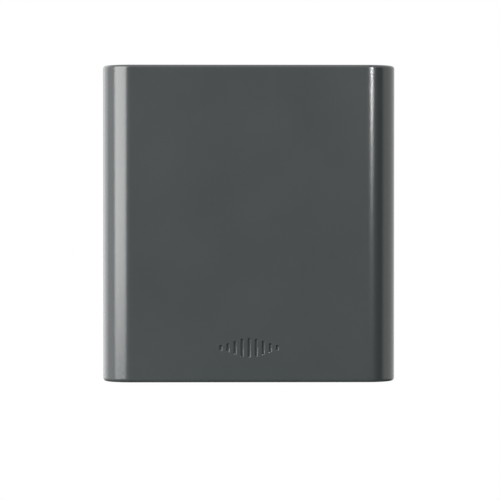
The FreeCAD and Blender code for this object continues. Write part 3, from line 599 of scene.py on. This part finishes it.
def window_loop():
    """The window's soft lip, its wall, the ledge that the glass seal presses on, and the rebate's wall."""
    opening = oblong(0, WINDOW_Y, *WINDOW, 8)
    rebate = oblong(0, WINDOW_Y, *REBATE, 8)
    lip = wall(opening, REBATE_Z, cap_high.z, 0.3 * MM, hole=True, steps=4)
    return lip[:6] + [level(opening, REBATE_Z), level(rebate, REBATE_Z), level(rebate, cap_low.z)]


def countersink(x, y):
    """A countersunk screw hole through the cap."""
    steps = [(2.75, 0.0), (2.62, 0.0), (2.54, 0.06), (1.64, 1.28), (1.6, 1.36), (1.6, None)]
    return [level(circle(x, y, radius * MM, 32), cap_low.z if deep is None else cap_high.z - deep * MM)
            for radius, deep in steps]


def cap_mesh(access):
    """The upper cap, with access holes or without."""
    loops = [wall(cap_outline(CAP_GAP, cap_high.y), cap_low.z, cap_high.z, 0.25 * MM), window_loop()]
    for side in (-1, 1):
        loops += [countersink(side * x, y) for x, y in (FRONT_PORT, REAR_PORT)]
        if access:
            key_hole = circle(side * LOCK_X, LOCK_Y, 2.6 * MM, 32)
            loops.append(wall(key_hole, cap_low.z, cap_high.z, 0.2 * MM, hole=True))
    return plate("cap", *loops)


def over(mesh):
    """The same mesh at the lower end, by half a turn about Y."""
    copy = mesh.copy()
    copy.transform(Matrix.Rotation(math.pi, 4, "Y"))
    return copy


def at_both_ends(name, mesh, material):
    """A piece at the upper end and its like at the lower."""
    for end, shape in (("upper_", mesh), ("lower_", over(mesh))):
        piece(end + name + "_piece", shape, material, "lamp_head", end + name)


for end, shape in (("upper_cap", cap_mesh(False)), ("lower_cap", over(cap_mesh(True)))):
    piece(end + "_piece", shape, coat, "lamp_head", end)


# ---------------------------------------------------------------- cap screws
# Eight countersunk stainless screws with a 2 mm hex socket, cold-headed, with a rolled thread that forms its
# own way in the ports. The two set screws below share the tree that rolls the thread.
def alloy(name, dark, light, roughness, size, depth, stretch=(1, 1, 1), spread=0.12):
    """A bare metal with fine marks of its own, cloudy on a larger scale."""
    material, shader, wire = finish(name, Metallic=1.0)
    marks = grain(wire, size, 3.0, 0.6, stretch)
    cloud = grain(wire, size * 30)
    link(tint(wire, marks * 0.4 + cloud * 0.6, dark, light), shader, "Base Color")
    link(roughness + (marks - 0.5) * spread + (cloud - 0.5) * spread, shader, "Roughness")
    relief(wire, shader, marks, depth)
    return material


steel = alloy("screw_steel", (0.33, 0.33, 0.32), (0.50, 0.50, 0.49), 0.30, 0.25 * MM, 0.006 * MM)


def hexagon(across_flats, steps=24):
    """A ring of points on a hexagon, its corners among them."""
    found = []
    for n in range(steps):
        turn = 2 * math.pi * n / steps
        reach = across_flats / 2 / math.cos((turn + math.pi / 6) % (math.pi / 3) - math.pi / 6)
        found.append(Vector((reach * math.sin(turn), reach * math.cos(turn))))
    return found


def socket_rings(size, deep):
    """A hex socket from its drilled bottom up to its chamfered mouth, level with z = 0."""
    ring = hexagon(size * MM)
    lead = [way.normalized() * (size * 0.577 + 0.12) * MM for way in ring]
    low = -deep * MM
    return [level([way * 0.25 for way in ring], low - 0.25 * MM), level([way * 0.93 for way in ring], low),
            level(ring, low + 0.08 * MM), level(ring, -0.16 * MM), level(lead, 0)]


def turned(profile):
    """Rings round Z from (radius, height) pairs in millimetres, in step with a hex socket's points."""
    ways = [way.normalized() for way in hexagon(1)]
    return [level([way * radius * MM for way in ways], height * MM) for radius, height in profile]


def thread_tree():
    """Rolls a thread under a head, and sets screws from a first place on: four at each end."""
    sizes = {"Radius": 1.2 * MM, "Root": 0.9 * MM, "Pitch": 0.9 * MM, "Length": 13 * MM, "Start": 0.0,
             "Tip": 0.5 * MM, "Sides": 24, "Front X": FRONT_PORT[0], "Front Y": FRONT_PORT[1],
             "Rear X": REAR_PORT[0], "Rear Y": REAR_PORT[1], "Face Z": cap_high.z, "First": 0, "Count": 8}
    tree, wires = tree_inputs("rolled_thread", sizes)
    head, sides, length = wires["Geometry"], wires["Sides"], wires["Length"]
    rows = head.math("ROUND", length / wires["Pitch"] * 10) + 3
    grid = head.node("GeometryNodeMeshGrid", inputs={"Vertices X": sides + 1, "Vertices Y": rows})
    index = head.node("GeometryNodeInputIndex")
    column = head.math("FLOOR", (index + 0.5) / rows)
    row = index - column * rows
    along = head.math("MINIMUM", row / (rows - 2), 1.0) * length
    turn = column / sides
    ridge = head.math("PINGPONG", along / wires["Pitch"] - turn + 4.0, 0.5) * 2
    flank = wires["Root"] + (wires["Radius"] - wires["Root"]) * head.math("SMOOTH_MIN", ridge * 1.5, 1.0, 0.3)
    radius = head.math("MINIMUM", flank, wires["Start"] + along)
    radius = head.math("MINIMUM", radius, wires["Tip"] + (length - along))
    radius = radius * head.math("LESS_THAN", row, rows - 1.5)
    angle = turn * (2 * math.pi)
    place = head.node("ShaderNodeCombineXYZ", inputs={
        "X": radius * head.math("SINE", angle), "Y": radius * head.math("COSINE", angle), "Z": 0 - along})
    shank = head.node("GeometryNodeSetPosition", inputs={"Geometry": grid, "Position": place})
    joined = head.node("GeometryNodeJoinGeometry")
    for part in (head, shank):
        tree.links.new(part.socket, joined.socket.node.inputs[0])
    screw = head.node("GeometryNodeMergeByDistance", inputs={"Geometry": joined, "Distance": 0.002 * MM})
    spots = head.node("GeometryNodeMeshLine", {"mode": "OFFSET"}, {"Count": wires["Count"]})
    number = index + wires["First"]
    side = head.math("MODULO", number, 2) * 2 - 1
    rear = head.math("MODULO", head.math("FLOOR", number / 2), 2)
    end = head.math("FLOOR", number / 4)
    spot = head.node("ShaderNodeCombineXYZ", inputs={
        "X": side * (wires["Front X"] + (wires["Rear X"] - wires["Front X"]) * rear),
        "Y": wires["Front Y"] + (wires["Rear Y"] - wires["Front Y"]) * rear,
        "Z": wires["Face Z"] * (1 - end * 2)})
    spots = head.node("GeometryNodeSetPosition", inputs={"Geometry": spots, "Position": spot})
    turned_over = head.node("ShaderNodeCombineXYZ", inputs={
        "Y": end * math.pi, "Z": number * 1.3 * (1 - end)})
    screws = head.node("GeometryNodeInstanceOnPoints", inputs={
        "Points": spots, "Instance": screw, "Rotation": turned_over})
    close_tree(tree, screws, steel)
    return tree


rolled_thread = thread_tree()
countersunk = stack("countersunk_head", socket_rings(2.0, 1.0) + turned([
    (1.55, 0), (2.2, 0), (2.36, -0.02), (2.45, -0.1), (2.43, -0.16), (1.25, -1.3)]))
cap_screws = piece("cap_screws", grown(countersunk, rolled_thread, {"Count": 8}), steel, "lamp_head",
                   "upper_cap_screws", "lower_cap_screws")


# ---------------------------------------------------------------- windows
# A toughened glass with seamed edges lies behind each window. A silicone frame seals it to the cap, and a
# die-cut rubber sheet seals the cap to the body.
def moulded(name, dark, light, roughness, size, depth, **steady):
    """A plastic or rubber with its moulded texture and a faint mottle."""
    material, shader, wire = finish(name, **steady)
    texture = grain(wire, size, 2.0)
    mottle = grain(wire, size * 25, 3.0)
    link(tint(wire, texture * 0.35 + mottle * 0.65, dark, light), shader, "Base Color")
    link(roughness + (texture - 0.5) * 0.16 + (mottle - 0.5) * 0.12, shader, "Roughness")
    relief(wire, shader, texture, depth)
    return material


def glass_material():
    """Clear glass with the faintest smears."""
    material, shader, wire = finish(
        "clear_glass", Transmission_Weight=1.0, IOR=1.5, Base_Color=(0.93, 0.985, 0.965, 1.0))
    smear = grain(wire, 9 * MM, 3.0, 0.6, (2.0, 1.0, 1.0))
    link(0.015 + smear * 0.05, shader, "Roughness")
    return material


glass_low, glass_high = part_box("upper_glass")
glass_outline = oblong(0, WINDOW_Y, glass_high.x, (glass_high.y - glass_low.y) / 2, 4.0 * MM, 10)
glass_mesh = plate("glass", wall(glass_outline, glass_low.z, glass_high.z, 0.3 * MM, steps=2))
at_both_ends("glass", glass_mesh, glass_material())

seal_low, seal_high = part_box("upper_glass_seal")
seal_hole = oblong(0, WINDOW_Y, WINDOW[0] + 0.2 * MM, WINDOW[1] + 0.2 * MM, WINDOW[2], 10)
silicone = moulded("grey_silicone", (0.30, 0.30, 0.29), (0.40, 0.40, 0.385), 0.42, 0.4 * MM, 0.006 * MM,
                   Subsurface_Weight=0.2, Subsurface_Scale=1.0 * MM)
seal_mesh = plate("glass_seal", wall(glass_outline, seal_low.z, seal_high.z, 0.25 * MM),
                  wall(seal_hole, seal_low.z, seal_high.z, 0.25 * MM, hole=True))
at_both_ends("glass_seal", seal_mesh, silicone)

rubber = moulded("black_epdm", (0.010, 0.010, 0.011), (0.020, 0.020, 0.021), 0.62, 0.35 * MM, 0.012 * MM)
gasket_low, gasket_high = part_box("upper_cap_gasket")


def gasket_mesh(access):
    """The sheet under a cap, open round the glass, at the screws and at the set screws."""
    flat = (gasket_low.z, gasket_high.z, 0.1 * MM)
    loops = [wall(cap_outline(0.2 * MM, gasket_high.y), *flat)]
    loops.append(wall(oblong(0, WINDOW_Y, 37.0 * MM, 9.8 * MM, 4 * MM, 10), *flat, hole=True))
    holes = [(*FRONT_PORT, 1.6 * MM), (*REAR_PORT, 1.6 * MM)]
    if access:
        holes.append((LOCK_X, LOCK_Y, 2.6 * MM))
    for x, y, radius in holes:
        loops += [wall(circle(side * x, y, radius), *flat, hole=True) for side in (-1, 1)]
    return plate("cap_gasket", *loops)


for end, shape in (("upper_cap_gasket", gasket_mesh(False)), ("lower_cap_gasket", over(gasket_mesh(True)))):
    piece(end + "_piece", shape, rubber, "lamp_head", end)


# ---------------------------------------------------------------- lights
# Behind each glass is a vacuum-metallised reflector bar, one cup for each of six diodes. The diodes, white
# ceramic with a phosphor under a clear dome, are soldered to a white board with an aluminium core.
reflector_low, reflector_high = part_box("upper_reflector")
DIODE_COUNT = 6
DIODE_PITCH = 10.0 * MM


def cup_loop(x):
    """A cup from its thin rim down a bowed wall to the hole for the diode."""
    hole_r, rim_r = 2.9, 4.74
    rows = [(4.95, 1.0), (4.9, 1.0), (4.82, 0.995), (rim_r, 0.98)]
    for share in (0.8, 0.6, 0.42, 0.28, 0.17, 0.08, 0.02):
        rows.append((hole_r + (rim_r - hole_r) * math.sqrt(share), share * 0.98))
    rows.append((hole_r, 0.0))
    foot, tall = reflector_low.z, reflector_high.z - reflector_low.z
    return [level(circle(x, WINDOW_Y, radius * MM, 40), foot + tall * share) for radius, share in rows]


bar = oblong(0, WINDOW_Y, reflector_high.x, (reflector_high.y - reflector_low.y) / 2, 2 * MM, 8)
diode_row = [(n - (DIODE_COUNT - 1) / 2) * DIODE_PITCH for n in range(DIODE_COUNT)]
bar_side = wall(bar, reflector_low.z, reflector_high.z, 0.3 * MM)
reflector_mesh = plate("reflector", bar_side, *map(cup_loop, diode_row))
reflector_look = alloy(
    "metallised_mirror", (0.58, 0.59, 0.60), (0.68, 0.69, 0.70), 0.12, 1.4 * MM, 0.004 * MM, spread=0.05)
at_both_ends("reflector", reflector_mesh, reflector_look)


def diode_material():
    """White ceramic, and round each dome's middle the yellow of the phosphor under it."""
    material, shader, wire = finish("ceramic_and_phosphor", Coat_Weight=0.6, Coat_Roughness=0.05)
    place = wire.node("ShaderNodeTexCoord", out="Object")
    x = wire.node("ShaderNodeSeparateXYZ", inputs={"Vector": place}, out="X")
    y = wire.node("ShaderNodeSeparateXYZ", inputs={"Vector": place}, out="Y") - WINDOW_Y
    x = wire.math("FLOORED_MODULO", x, DIODE_PITCH) - DIODE_PITCH / 2
    reach = wire.math("SQRT", x * x + y * y)
    yellow = wire.node("ShaderNodeMapRange", {"interpolation_type": "SMOOTHSTEP"}, {
        "Value": reach, "From Min": 1.2 * MM, "From Max": 1.0 * MM})
    speck = grain(wire, 0.15 * MM)
    ceramic = tint(wire, speck, (0.70, 0.70, 0.68), (0.84, 0.84, 0.82))
    phosphor = tint(wire, speck, (0.72, 0.48, 0.06), (0.86, 0.62, 0.12))
    mix = wire.node("ShaderNodeMix", {"data_type": "RGBA"}, {0: yellow, 6: ceramic, 7: phosphor}, out=2)
    link(mix, shader, "Base Color")
    link(0.45 - yellow * 0.33 + speck * 0.1, shader, "Roughness")
    relief(wire, shader, speck, 0.004 * MM)
    return material


def diode_tree(material):
    """Sets diodes in a row at the upper end, and as many turned over at the lower."""
    tree, wires = tree_inputs("diode_rows", {
        "Count": DIODE_COUNT, "Pitch": DIODE_PITCH, "Row Y": WINDOW_Y, "Board Z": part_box("upper_leds")[0].z})
    diode, count = wires["Geometry"], wires["Count"]
    spots = diode.node("GeometryNodeMeshLine", {"mode": "OFFSET"}, {"Count": count * 2})
    index = diode.node("GeometryNodeInputIndex")
    end = diode.math("FLOOR", (index + 0.5) / count)
    number = index - end * count - (count - 1) * 0.5
    spot = diode.node("ShaderNodeCombineXYZ", inputs={
        "X": number * wires["Pitch"], "Y": wires["Row Y"], "Z": wires["Board Z"] * (1 - end * 2)})
    spots = diode.node("GeometryNodeSetPosition", inputs={"Geometry": spots, "Position": spot})
    turned_over = diode.node("ShaderNodeCombineXYZ", inputs={"Y": end * math.pi})
    row = diode.node("GeometryNodeInstanceOnPoints", inputs={
        "Points": spots, "Instance": diode, "Rotation": turned_over})
    close_tree(tree, row, material)
    return tree


base_half = 1.725 * MM
base_side = wall(oblong(0, 0, base_half, base_half, 0.12 * MM, 2), 0, 0.7 * MM, 0.06 * MM, steps=1)
diode_base = plate("diode_base", base_side)
DOME_R = 1.45
dome_turns = [math.radians(degrees) for degrees in range(0, 85, 12)]
dome_rows = [(DOME_R * math.cos(turn), 0.68 + DOME_R * math.sin(turn)) for turn in dome_turns]
diode_dome = stack("diode_dome", turned([(DOME_R, 0.6)] + dome_rows + [(0.08, 2.13)]))
diode_look = diode_material()
diode_set = grown(together("diode", diode_base, diode_dome), diode_tree(diode_look), {"Count": DIODE_COUNT})
piece("diodes", diode_set, diode_look, "lamp_head", "upper_leds", "lower_leds")


body_nodes = frame["record"]["behaviour"]["bodies"]


def eased(node, material, width):
    """A piece from a CAD node's own shape, with its sharp edges broken and its flat faces lit evenly."""
    bm = bmesh.new()
    bm.from_mesh(frame["nodes"][node].data)
    bmesh.ops.remove_doubles(bm, verts=bm.verts, dist=0.001 * MM)
    bmesh.ops.dissolve_limit(bm, angle_limit=math.radians(0.5), verts=bm.verts, edges=bm.edges)
    crisp = [edge for edge in bm.edges if edge.is_manifold and edge.calc_face_angle(0) > math.radians(32)]
    if width:
        bmesh.ops.bevel(
            bm, geom=crisp, offset=width, segments=2, profile=0.5, affect="EDGES", clamp_overlap=True)
    bmesh.ops.triangulate(bm, faces=[face for face in bm.faces if len(face.verts) > 4])
    mesh = done(bm, node)
    body = next(body for body, nodes in body_nodes.items() if node in nodes)
    made = piece(node + "_piece", mesh, material, body, node)
    made.modifiers.new("flat_faces", "WEIGHTED_NORMAL").keep_sharp = True
    return made


def board_material(name, dark, light, copper, size):
    """Solder mask over copper tracks, which show through as low ridges that bend squarely round each pad."""
    material, shader, wire = finish(name, Coat_Weight=0.5, Coat_Roughness=0.15)
    place = wire.node("ShaderNodeTexCoord", out="Object")
    reach = wire.node("ShaderNodeTexVoronoi", {"distance": "CHEBYCHEV"}, {"Vector": place, "Scale": 1 / size})
    ridge = wire.math("PINGPONG", reach * 7.0, 0.5)
    track = wire.node("ShaderNodeMapRange", inputs={"Value": ridge, "From Min": 0.26, "From Max": 0.34})
    weave = grain(wire, 0.5 * MM)
    mask = tint(wire, weave, dark, light)
    mix = wire.node("ShaderNodeMix", {"data_type": "RGBA"}, {0: track, 6: mask, 7: (*copper, 1.0)}, out=2)
    link(mix, shader, "Base Color")
    link(0.30 + weave * 0.12, shader, "Roughness")
    relief(wire, shader, track * 0.7 + weave * 0.3, 0.02 * MM)
    return material


white_board = board_material(
    "white_solder_mask", (0.74, 0.74, 0.71), (0.82, 0.82, 0.79), (0.66, 0.66, 0.62), 9 * MM)
pad_grey = moulded("filled_silicone", (0.14, 0.18, 0.23), (0.20, 0.25, 0.31), 0.7, 0.3 * MM, 0.01 * MM)
for end in ("upper_", "lower_"):
    eased(end + "led_board", white_board, 0.08 * MM)
    eased(end + "thermal_pad", pad_grey, 0.05 * MM)
    eased(end + "board_screws", steel, 0.12 * MM)


# ---------------------------------------------------------------- driver
# A channel folded from 2 mm aluminium carries both light boards and takes their heat to the front. On four
# brass standoffs it holds the driver: a green board with a wound inductor, three capacitors, chips and plugs.
aluminium = alloy("folded_aluminium", (0.56, 0.57, 0.58), (0.70, 0.71, 0.72), 0.36, 0.22 * MM, 0.004 * MM,
                  (14, 1, 1), 0.04)
brass = alloy("turned_brass", (0.60, 0.42, 0.16), (0.76, 0.58, 0.28), 0.26, 0.3 * MM, 0.005 * MM)
green_board = board_material(
    "green_solder_mask", (0.010, 0.085, 0.035), (0.018, 0.12, 0.05), (0.022, 0.155, 0.066), 7 * MM)
ferrite = moulded(
    "sintered_ferrite", (0.025, 0.025, 0.027), (0.045, 0.045, 0.048), 0.55, 0.25 * MM, 0.02 * MM)
can = alloy("can_aluminium", (0.50, 0.51, 0.52), (0.62, 0.63, 0.64), 0.32, 0.2 * MM, 0.004 * MM, (4, 1, 4))
epoxy = moulded("moulded_epoxy", (0.012, 0.012, 0.013), (0.022, 0.022, 0.023), 0.5, 0.12 * MM, 0.008 * MM)
nylon = moulded("natural_nylon", (0.62, 0.61, 0.55), (0.74, 0.73, 0.68), 0.38, 0.3 * MM, 0.006 * MM)
eased("core_plate", aluminium, 0.15 * MM)
eased("driver_standoffs", brass, 0.12 * MM)
eased("driver_board", green_board, 0.08 * MM)
eased("driver_screws", steel, 0.15 * MM)
eased("driver_inductor", ferrite, 0.25 * MM)
eased("driver_capacitors", can, 0.25 * MM)
eased("driver_chips", epoxy, 0.08 * MM)
eased("driver_plugs", nylon, 0.15 * MM)


# ---------------------------------------------------------------- wires
# Pairs of silicone-insulated wires, red and black, run from the driver to each light board and to the
# supply terminal. They are held all the way and don't move.
def insulation():
    """Glossy insulation, red where attribute red is 1 and black elsewhere."""
    material, shader, wire = finish("wire_cover")
    red = wire.node("ShaderNodeAttribute", {"attribute_name": "red"}, out="Fac")
    dull = grain(wire, 1.2 * MM)
    black = tint(wire, dull, (0.012, 0.012, 0.013), (0.024, 0.024, 0.026))
    scarlet = tint(wire, dull, (0.34, 0.012, 0.010), (0.44, 0.022, 0.016))
    mix = wire.node("ShaderNodeMix", {"data_type": "RGBA"}, {0: red, 6: black, 7: scarlet}, out=2)
    link(mix, shader, "Base Color")
    link(0.30 + dull * 0.12, shader, "Roughness")
    relief(wire, shader, dull, 0.01 * MM)
    return material


def mark_red(mesh):
    """Gives attribute red the value 1 all along one wire of a pair, the one with the mesh's first point."""
    bm = bmesh.new()
    bm.from_mesh(mesh)
    red = bm.verts.layers.float.new("red")
    bm.verts.ensure_lookup_table()
    reached = [bm.verts[0]]
    while reached:
        vert = reached.pop()
        if not vert[red]:
            vert[red] = 1.0
            reached += [edge.other_vert(vert) for edge in vert.link_edges]
    bm.to_mesh(mesh)
    bm.free()


cover = insulation()
for leads in ("upper_led_leads", "lower_led_leads", "supply_leads"):
    mark_red(eased(leads, cover, 0).data)


# ---------------------------------------------------------------- tray
# The back is a black glass-filled moulding with a spark-eroded texture. It slides in on the body's rails and
# drops over the wall bracket. Two brass inserts for the set screws and a pressure vent are pressed into it.
tray_black = moulded(
    "glass_filled_black", (0.014, 0.015, 0.016), (0.026, 0.027, 0.029), 0.52, 0.28 * MM, 0.035 * MM)
eased("rear_tray", tray_black, 0.25 * MM)
eased("lock_inserts", brass, 0.1 * MM)
eased("vent_plug", rubber, 0.1 * MM)


# ---------------------------------------------------------------- terminal
# A two-pole terminal block of grey polyamide in the tray takes the supply: plated cages, a clamp screw in
# each, and two screws through its ears on a silicone gasket.
polyamide = moulded(
    "grey_polyamide", (0.075, 0.085, 0.092), (0.105, 0.118, 0.125), 0.42, 0.3 * MM, 0.012 * MM)
eased("supply_terminal", polyamide, 0.2 * MM)
eased("terminal_seal", silicone, 0.08 * MM)
eased("terminal_clamps", brass, 0.08 * MM)
eased("clamp_screws", steel, 0.15 * MM)
eased("terminal_screws", steel, 0.15 * MM)


# ---------------------------------------------------------------- wall seal
# A loop of closed-cell rubber foam, stuck to the tray's rim and pressed to 1.2 mm against the wall.
def upright(mesh):
    """A plate drawn flat, with its thickness from 0 up, stood up: its upper face turns to the room, -Y."""
    mesh.transform(Matrix(((1, 0, 0, 0), (0, 0, -1, 0), (0, 1, 0, 0), (0, 0, 0, 1))))
    return mesh


def foam():
    """Fine closed cells, cut through at the surface, with painted shade that darkens each cell's hollow."""
    material, shader, wire = finish("seal_foam")
    place = wire.node("ShaderNodeTexCoord", out="Object")
    size = 0.45 * MM
    cell = wire.node("ShaderNodeTexVoronoi", inputs={"Vector": place, "Scale": 1 / size}, out="Distance")
    dust = grain(wire, 8 * MM, 3.0)
    # Painted shade: the colour darkens towards each cell's middle, where the relief sinks into its hollow.
    black = tint(wire, cell * 0.7 + dust * 0.3, (0.008, 0.008, 0.009), (0.032, 0.032, 0.034))
    link(black, shader, "Base Color")
    link(0.72 + cell * 0.2, shader, "Roughness")
    relief(wire, shader, cell, 0.10 * MM)
    return material


foam_low, foam_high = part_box("wall_seal")
foam_t = foam_high.y - foam_low.y
foam_outside = oblong(0, 0, foam_high.x, foam_high.z, 0.4 * MM, 3)
foam_inside = oblong(0, 0, 38.7 * MM, 45.9 * MM, 2 * MM, 8)
foam_mesh = plate("wall_seal", wall(foam_outside, 0, foam_t, 0.35 * MM),
                  wall(foam_inside, 0, foam_t, 0.35 * MM, hole=True))
piece("wall_seal_piece", upright(foam_mesh), foam(), "lamp_head", "wall_seal")


# ---------------------------------------------------------------- wall bracket
# A laser-cut blank of 2 mm stainless sheet, brushed across, tumbled to break its edges, and folded forward at
# the top and bottom. It screws to the wall through two level slots and has a rubber bushing for the cable.
BRACKET_T = 2.0 * MM
FOLD_Z = 42.0 * MM
FOLD_INSIDE_R = 0.5 * MM
FLANGE_REACH = 10.0 * MM
BRACKET_HALF = 38.0 * MM
FLANGE_HALF = 34.0 * MM
FLANGE_CORNER_R = 0.8 * MM
BRACKET_CORNER_R = 3.98 * MM
SLOT_X = 30.0 * MM
SLOT_HALF = 5.0 * MM
SLOT_R = 2.5 * MM
fold_middle_r = FOLD_INSIDE_R + BRACKET_T / 2
fold_length = fold_middle_r * math.pi / 2
blank_half = FOLD_Z + fold_length + FLANGE_REACH - BRACKET_T - FOLD_INSIDE_R


def blank():
    """The flat blank, with its slots and cable hole."""
    right = [(BRACKET_HALF, -FOLD_Z, BRACKET_CORNER_R), (BRACKET_HALF, FOLD_Z, BRACKET_CORNER_R),
             (FLANGE_HALF, FOLD_Z, 0), (FLANGE_HALF, blank_half, FLANGE_CORNER_R)]
    left = [(-x, y, radius) for x, y, radius in reversed(right)]
    first = [(FLANGE_HALF, -blank_half, FLANGE_CORNER_R), (FLANGE_HALF, -FOLD_Z, 0)]
    last = [(-x, y, radius) for x, y, radius in reversed(first)]
    outline = drawn(first + right + left + last, 6)
    flat = (0, BRACKET_T, 0.18 * MM)
    loops = [wall(outline, *flat, steps=2), wall(circle(0, 0, 6 * MM, 48), *flat, hole=True, steps=2)]
    for side in (-1, 1):
        slot = oblong(side * SLOT_X, 0, SLOT_HALF, SLOT_R, SLOT_R - 0.001 * MM, 10)
        loops.append(wall(slot, *flat, hole=True, steps=2))
    return plate("wall_bracket", *loops)


def folded(mesh):
    """The blank with bend lines cut across it, its ends bent up round them."""
    bm = bmesh.new()
    bm.from_mesh(mesh)
    for side in (-1, 1):
        for step in range(9):
            line = side * (FOLD_Z + fold_length * step / 8)
            bmesh.ops.bisect_plane(bm, geom=bm.verts[:] + bm.edges[:] + bm.faces[:], dist=1e-7,
                                   plane_co=(0, line, 0), plane_no=(0, 1, 0))
    for vert in bm.verts:
        past = abs(vert.co.y) - FOLD_Z
        if past > 0:
            turn = min(past / fold_middle_r, math.pi / 2)
            reach = FOLD_INSIDE_R + BRACKET_T - vert.co.z
            straight = max(past - fold_length, 0)
            vert.co.y = math.copysign(FOLD_Z + reach * math.sin(turn), vert.co.y)
            vert.co.z = FOLD_INSIDE_R + BRACKET_T - reach * math.cos(turn) + straight
    return done(bm, "wall_bracket")


def brushed_sheet():
    """Stainless sheet with level belt marks of two lengths and a faint mill haze."""
    material, shader, wire = finish("brushed_stainless", Metallic=1.0)
    long_marks = grain(wire, 0.32 * MM, 3.0, 0.7, (90, 1, 1))
    short_marks = grain(wire, 0.20 * MM, 2.0, 0.6, (18, 1, 1))
    haze = grain(wire, 30 * MM, 1.0)
    marks = long_marks * 0.6 + short_marks * 0.4
    share = wire.node("ShaderNodeMapRange", inputs={"Value": marks, "From Min": 0.33, "From Max": 0.67})
    link(tint(wire, share, (0.30, 0.30, 0.295), (0.50, 0.50, 0.49)), shader, "Base Color")
    link(0.27 + share * 0.12 + haze * 0.05, shader, "Roughness")
    relief(wire, shader, marks, 0.010 * MM)
    return material


bracket = piece("wall_bracket_piece", upright(folded(blank())), brushed_sheet(), "wall_side", "wall_bracket")

lathe = [(3.2, 0.5), (3.35, 0.34), (3.6, 0.3), (5.7, 0.3), (5.88, 0.36), (5.95, 0.5), (5.95, 2.0), (7.8, 2.0),
         (7.94, 2.06), (8.0, 2.2), (8.0, 2.9)]
for turn in map(math.radians, (18, 36, 54, 72, 90)):
    lathe.append((7.3 + 0.7 * math.cos(turn), 2.9 + 0.7 * math.sin(turn)))
lathe += [(4.6, 3.6), (4.35, 3.52), (4.1, 3.3), (3.75, 3.18), (3.4, 3.1), (3.2, 2.9)]
bushing = stack("cable_bushing", turned(lathe), joined=True)
piece("cable_bushing_piece", upright(bushing), rubber, "wall_side", "cable_bushing")


# ---------------------------------------------------------------- set screws
# Two stainless M4 set screws in the underside press on the bracket's lower flange. Each has a 2 mm hex
# socket, cupped and chamfered ends, and the thread of the tree above.
lock_low, lock_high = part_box("lock_screw_left")
end_rings = socket_rings(2.0, 2.1) + turned([(1.45, 0), (1.6, 0)])
socket_end = stack("set_screw_end", end_rings, ends=(True, False))
socket_end.flip_normals()
for side, body in ((1, "lock_screw_left"), (-1, "lock_screw_right")):
    set_screw = grown(socket_end, rolled_thread, {
        "Radius": 2.0 * MM, "Root": 1.62 * MM, "Pitch": 0.7 * MM, "Length": lock_high.z - lock_low.z,
        "Start": 1.6 * MM, "Tip": 1.6 * MM, "Front X": side * LOCK_X, "Front Y": LOCK_Y,
        "Face Z": -lock_low.z, "First": 4, "Count": 1})
    piece(body + "_piece", set_screw, steel, body, body)


# ---------------------------------------------------------------- studio
# The lamp stands over a pale floor among softboxes: a broad one on its left, another behind that, a thin
# one high on its right, and one overhead. The white room is darker in front and below.
def lamp(name, azimuth, height, reach, size, power, target=(0, 0, 0)):
    """A rectangular softbox round the lamp, at an azimuth in degrees from the front, that faces a target."""
    data = bpy.data.lights.new(name, "AREA")
    data.shape = "RECTANGLE"
    data.size, data.size_y = size
    data.energy = power
    made = bpy.data.objects.new(name, data)
    bpy.context.scene.collection.objects.link(made)
    turn = math.radians(azimuth)
    made.location = (math.sin(turn) * reach, -math.cos(turn) * reach, height)
    made.rotation_mode = "QUATERNION"
    made.rotation_quaternion = (Vector(target) - made.location).to_track_quat("-Z", "Y")
    made.visible_camera = False
    return made


lamp("left_softbox", -47, 0.33, 1.10, (1.02, 0.95), 30.0)
lamp("back_left_softbox", -128, 0.32, 1.20, (0.95, 1.10), 4.4)
strip = lamp("right_strip", 25, 0.140, 0.62, (0.030, 0.150), 1.9, (0.044, -0.03, 0.03))
strip.visible_diffuse = False
overhead = lamp("overhead", 10, 1.0, 0.25, (0.9, 0.6), 6.0)
overhead.visible_glossy = False

floor_rim = level(circle(0, 0, 0.6, 64), shell_low.z - 0.30)
floor_mesh = bpy.data.meshes.new("floor")
floor_mesh.from_pydata(floor_rim, [], [range(64)])
floor = bpy.data.objects.new("floor", floor_mesh)
bpy.context.scene.collection.objects.link(floor)
pale_floor = finish("pale_floor", Base_Color=(0.80, 0.80, 0.80, 1.0), Roughness=0.8)[0]
floor_mesh.materials.append(pale_floor)
floor.visible_glossy = False

world = bpy.data.worlds.new("white_room")
bpy.context.scene.world = world
world.use_nodes = True
room = Wire(world.node_tree)
way = room.node("ShaderNodeTexCoord", out="Generated")
east = room.node("ShaderNodeSeparateXYZ", inputs={"Vector": way}, out="X")
north = room.node("ShaderNodeSeparateXYZ", inputs={"Vector": way}, out="Y")
rise = room.node("ShaderNodeSeparateXYZ", inputs={"Vector": way}, out="Z")
round_about = east.math("ARCTAN2", east, 0 - north) / (2 * math.pi) + 0.5
# Stops go from behind, round by the left, the front and the right, to behind again.
glow = [(0.0, 1.2), (0.19, 1.5), (0.26, 2.1), (0.40, 0.44), (0.59, 0.24), (0.61, 0.0), (0.685, 0.0),
        (0.71, 1.32), (0.84, 1.2), (0.90, 1.2), (1.0, 1.2)]
shine = room.node("ShaderNodeValToRGB", {"stops": [(place, (v, v, v, 1.0)) for place, v in glow]}, {
    "Fac": round_about})
up = room.node("ShaderNodeMapRange", {"interpolation_type": "SMOOTHSTEP"}, {
    "Value": rise, "From Min": 0.15, "From Max": 0.60})
down = room.node("ShaderNodeMapRange", {"interpolation_type": "SMOOTHSTEP"}, {
    "Value": rise, "From Min": -0.10, "From Max": -0.45})
seen = room.node("ShaderNodeLightPath", out="Is Camera Ray")
for share, value in ((up, 1.4), (down, 0.10), (seen, 1.0)):
    grey = (value, value, value, 1.0)
    shine = room.node("ShaderNodeMix", {"data_type": "RGBA"}, {0: share, 6: shine, 7: grey}, out=2)
world.node_tree.links.new(shine.socket, world.node_tree.nodes["Background"].inputs["Color"])
bpy.context.scene.view_settings.view_transform = "Standard"
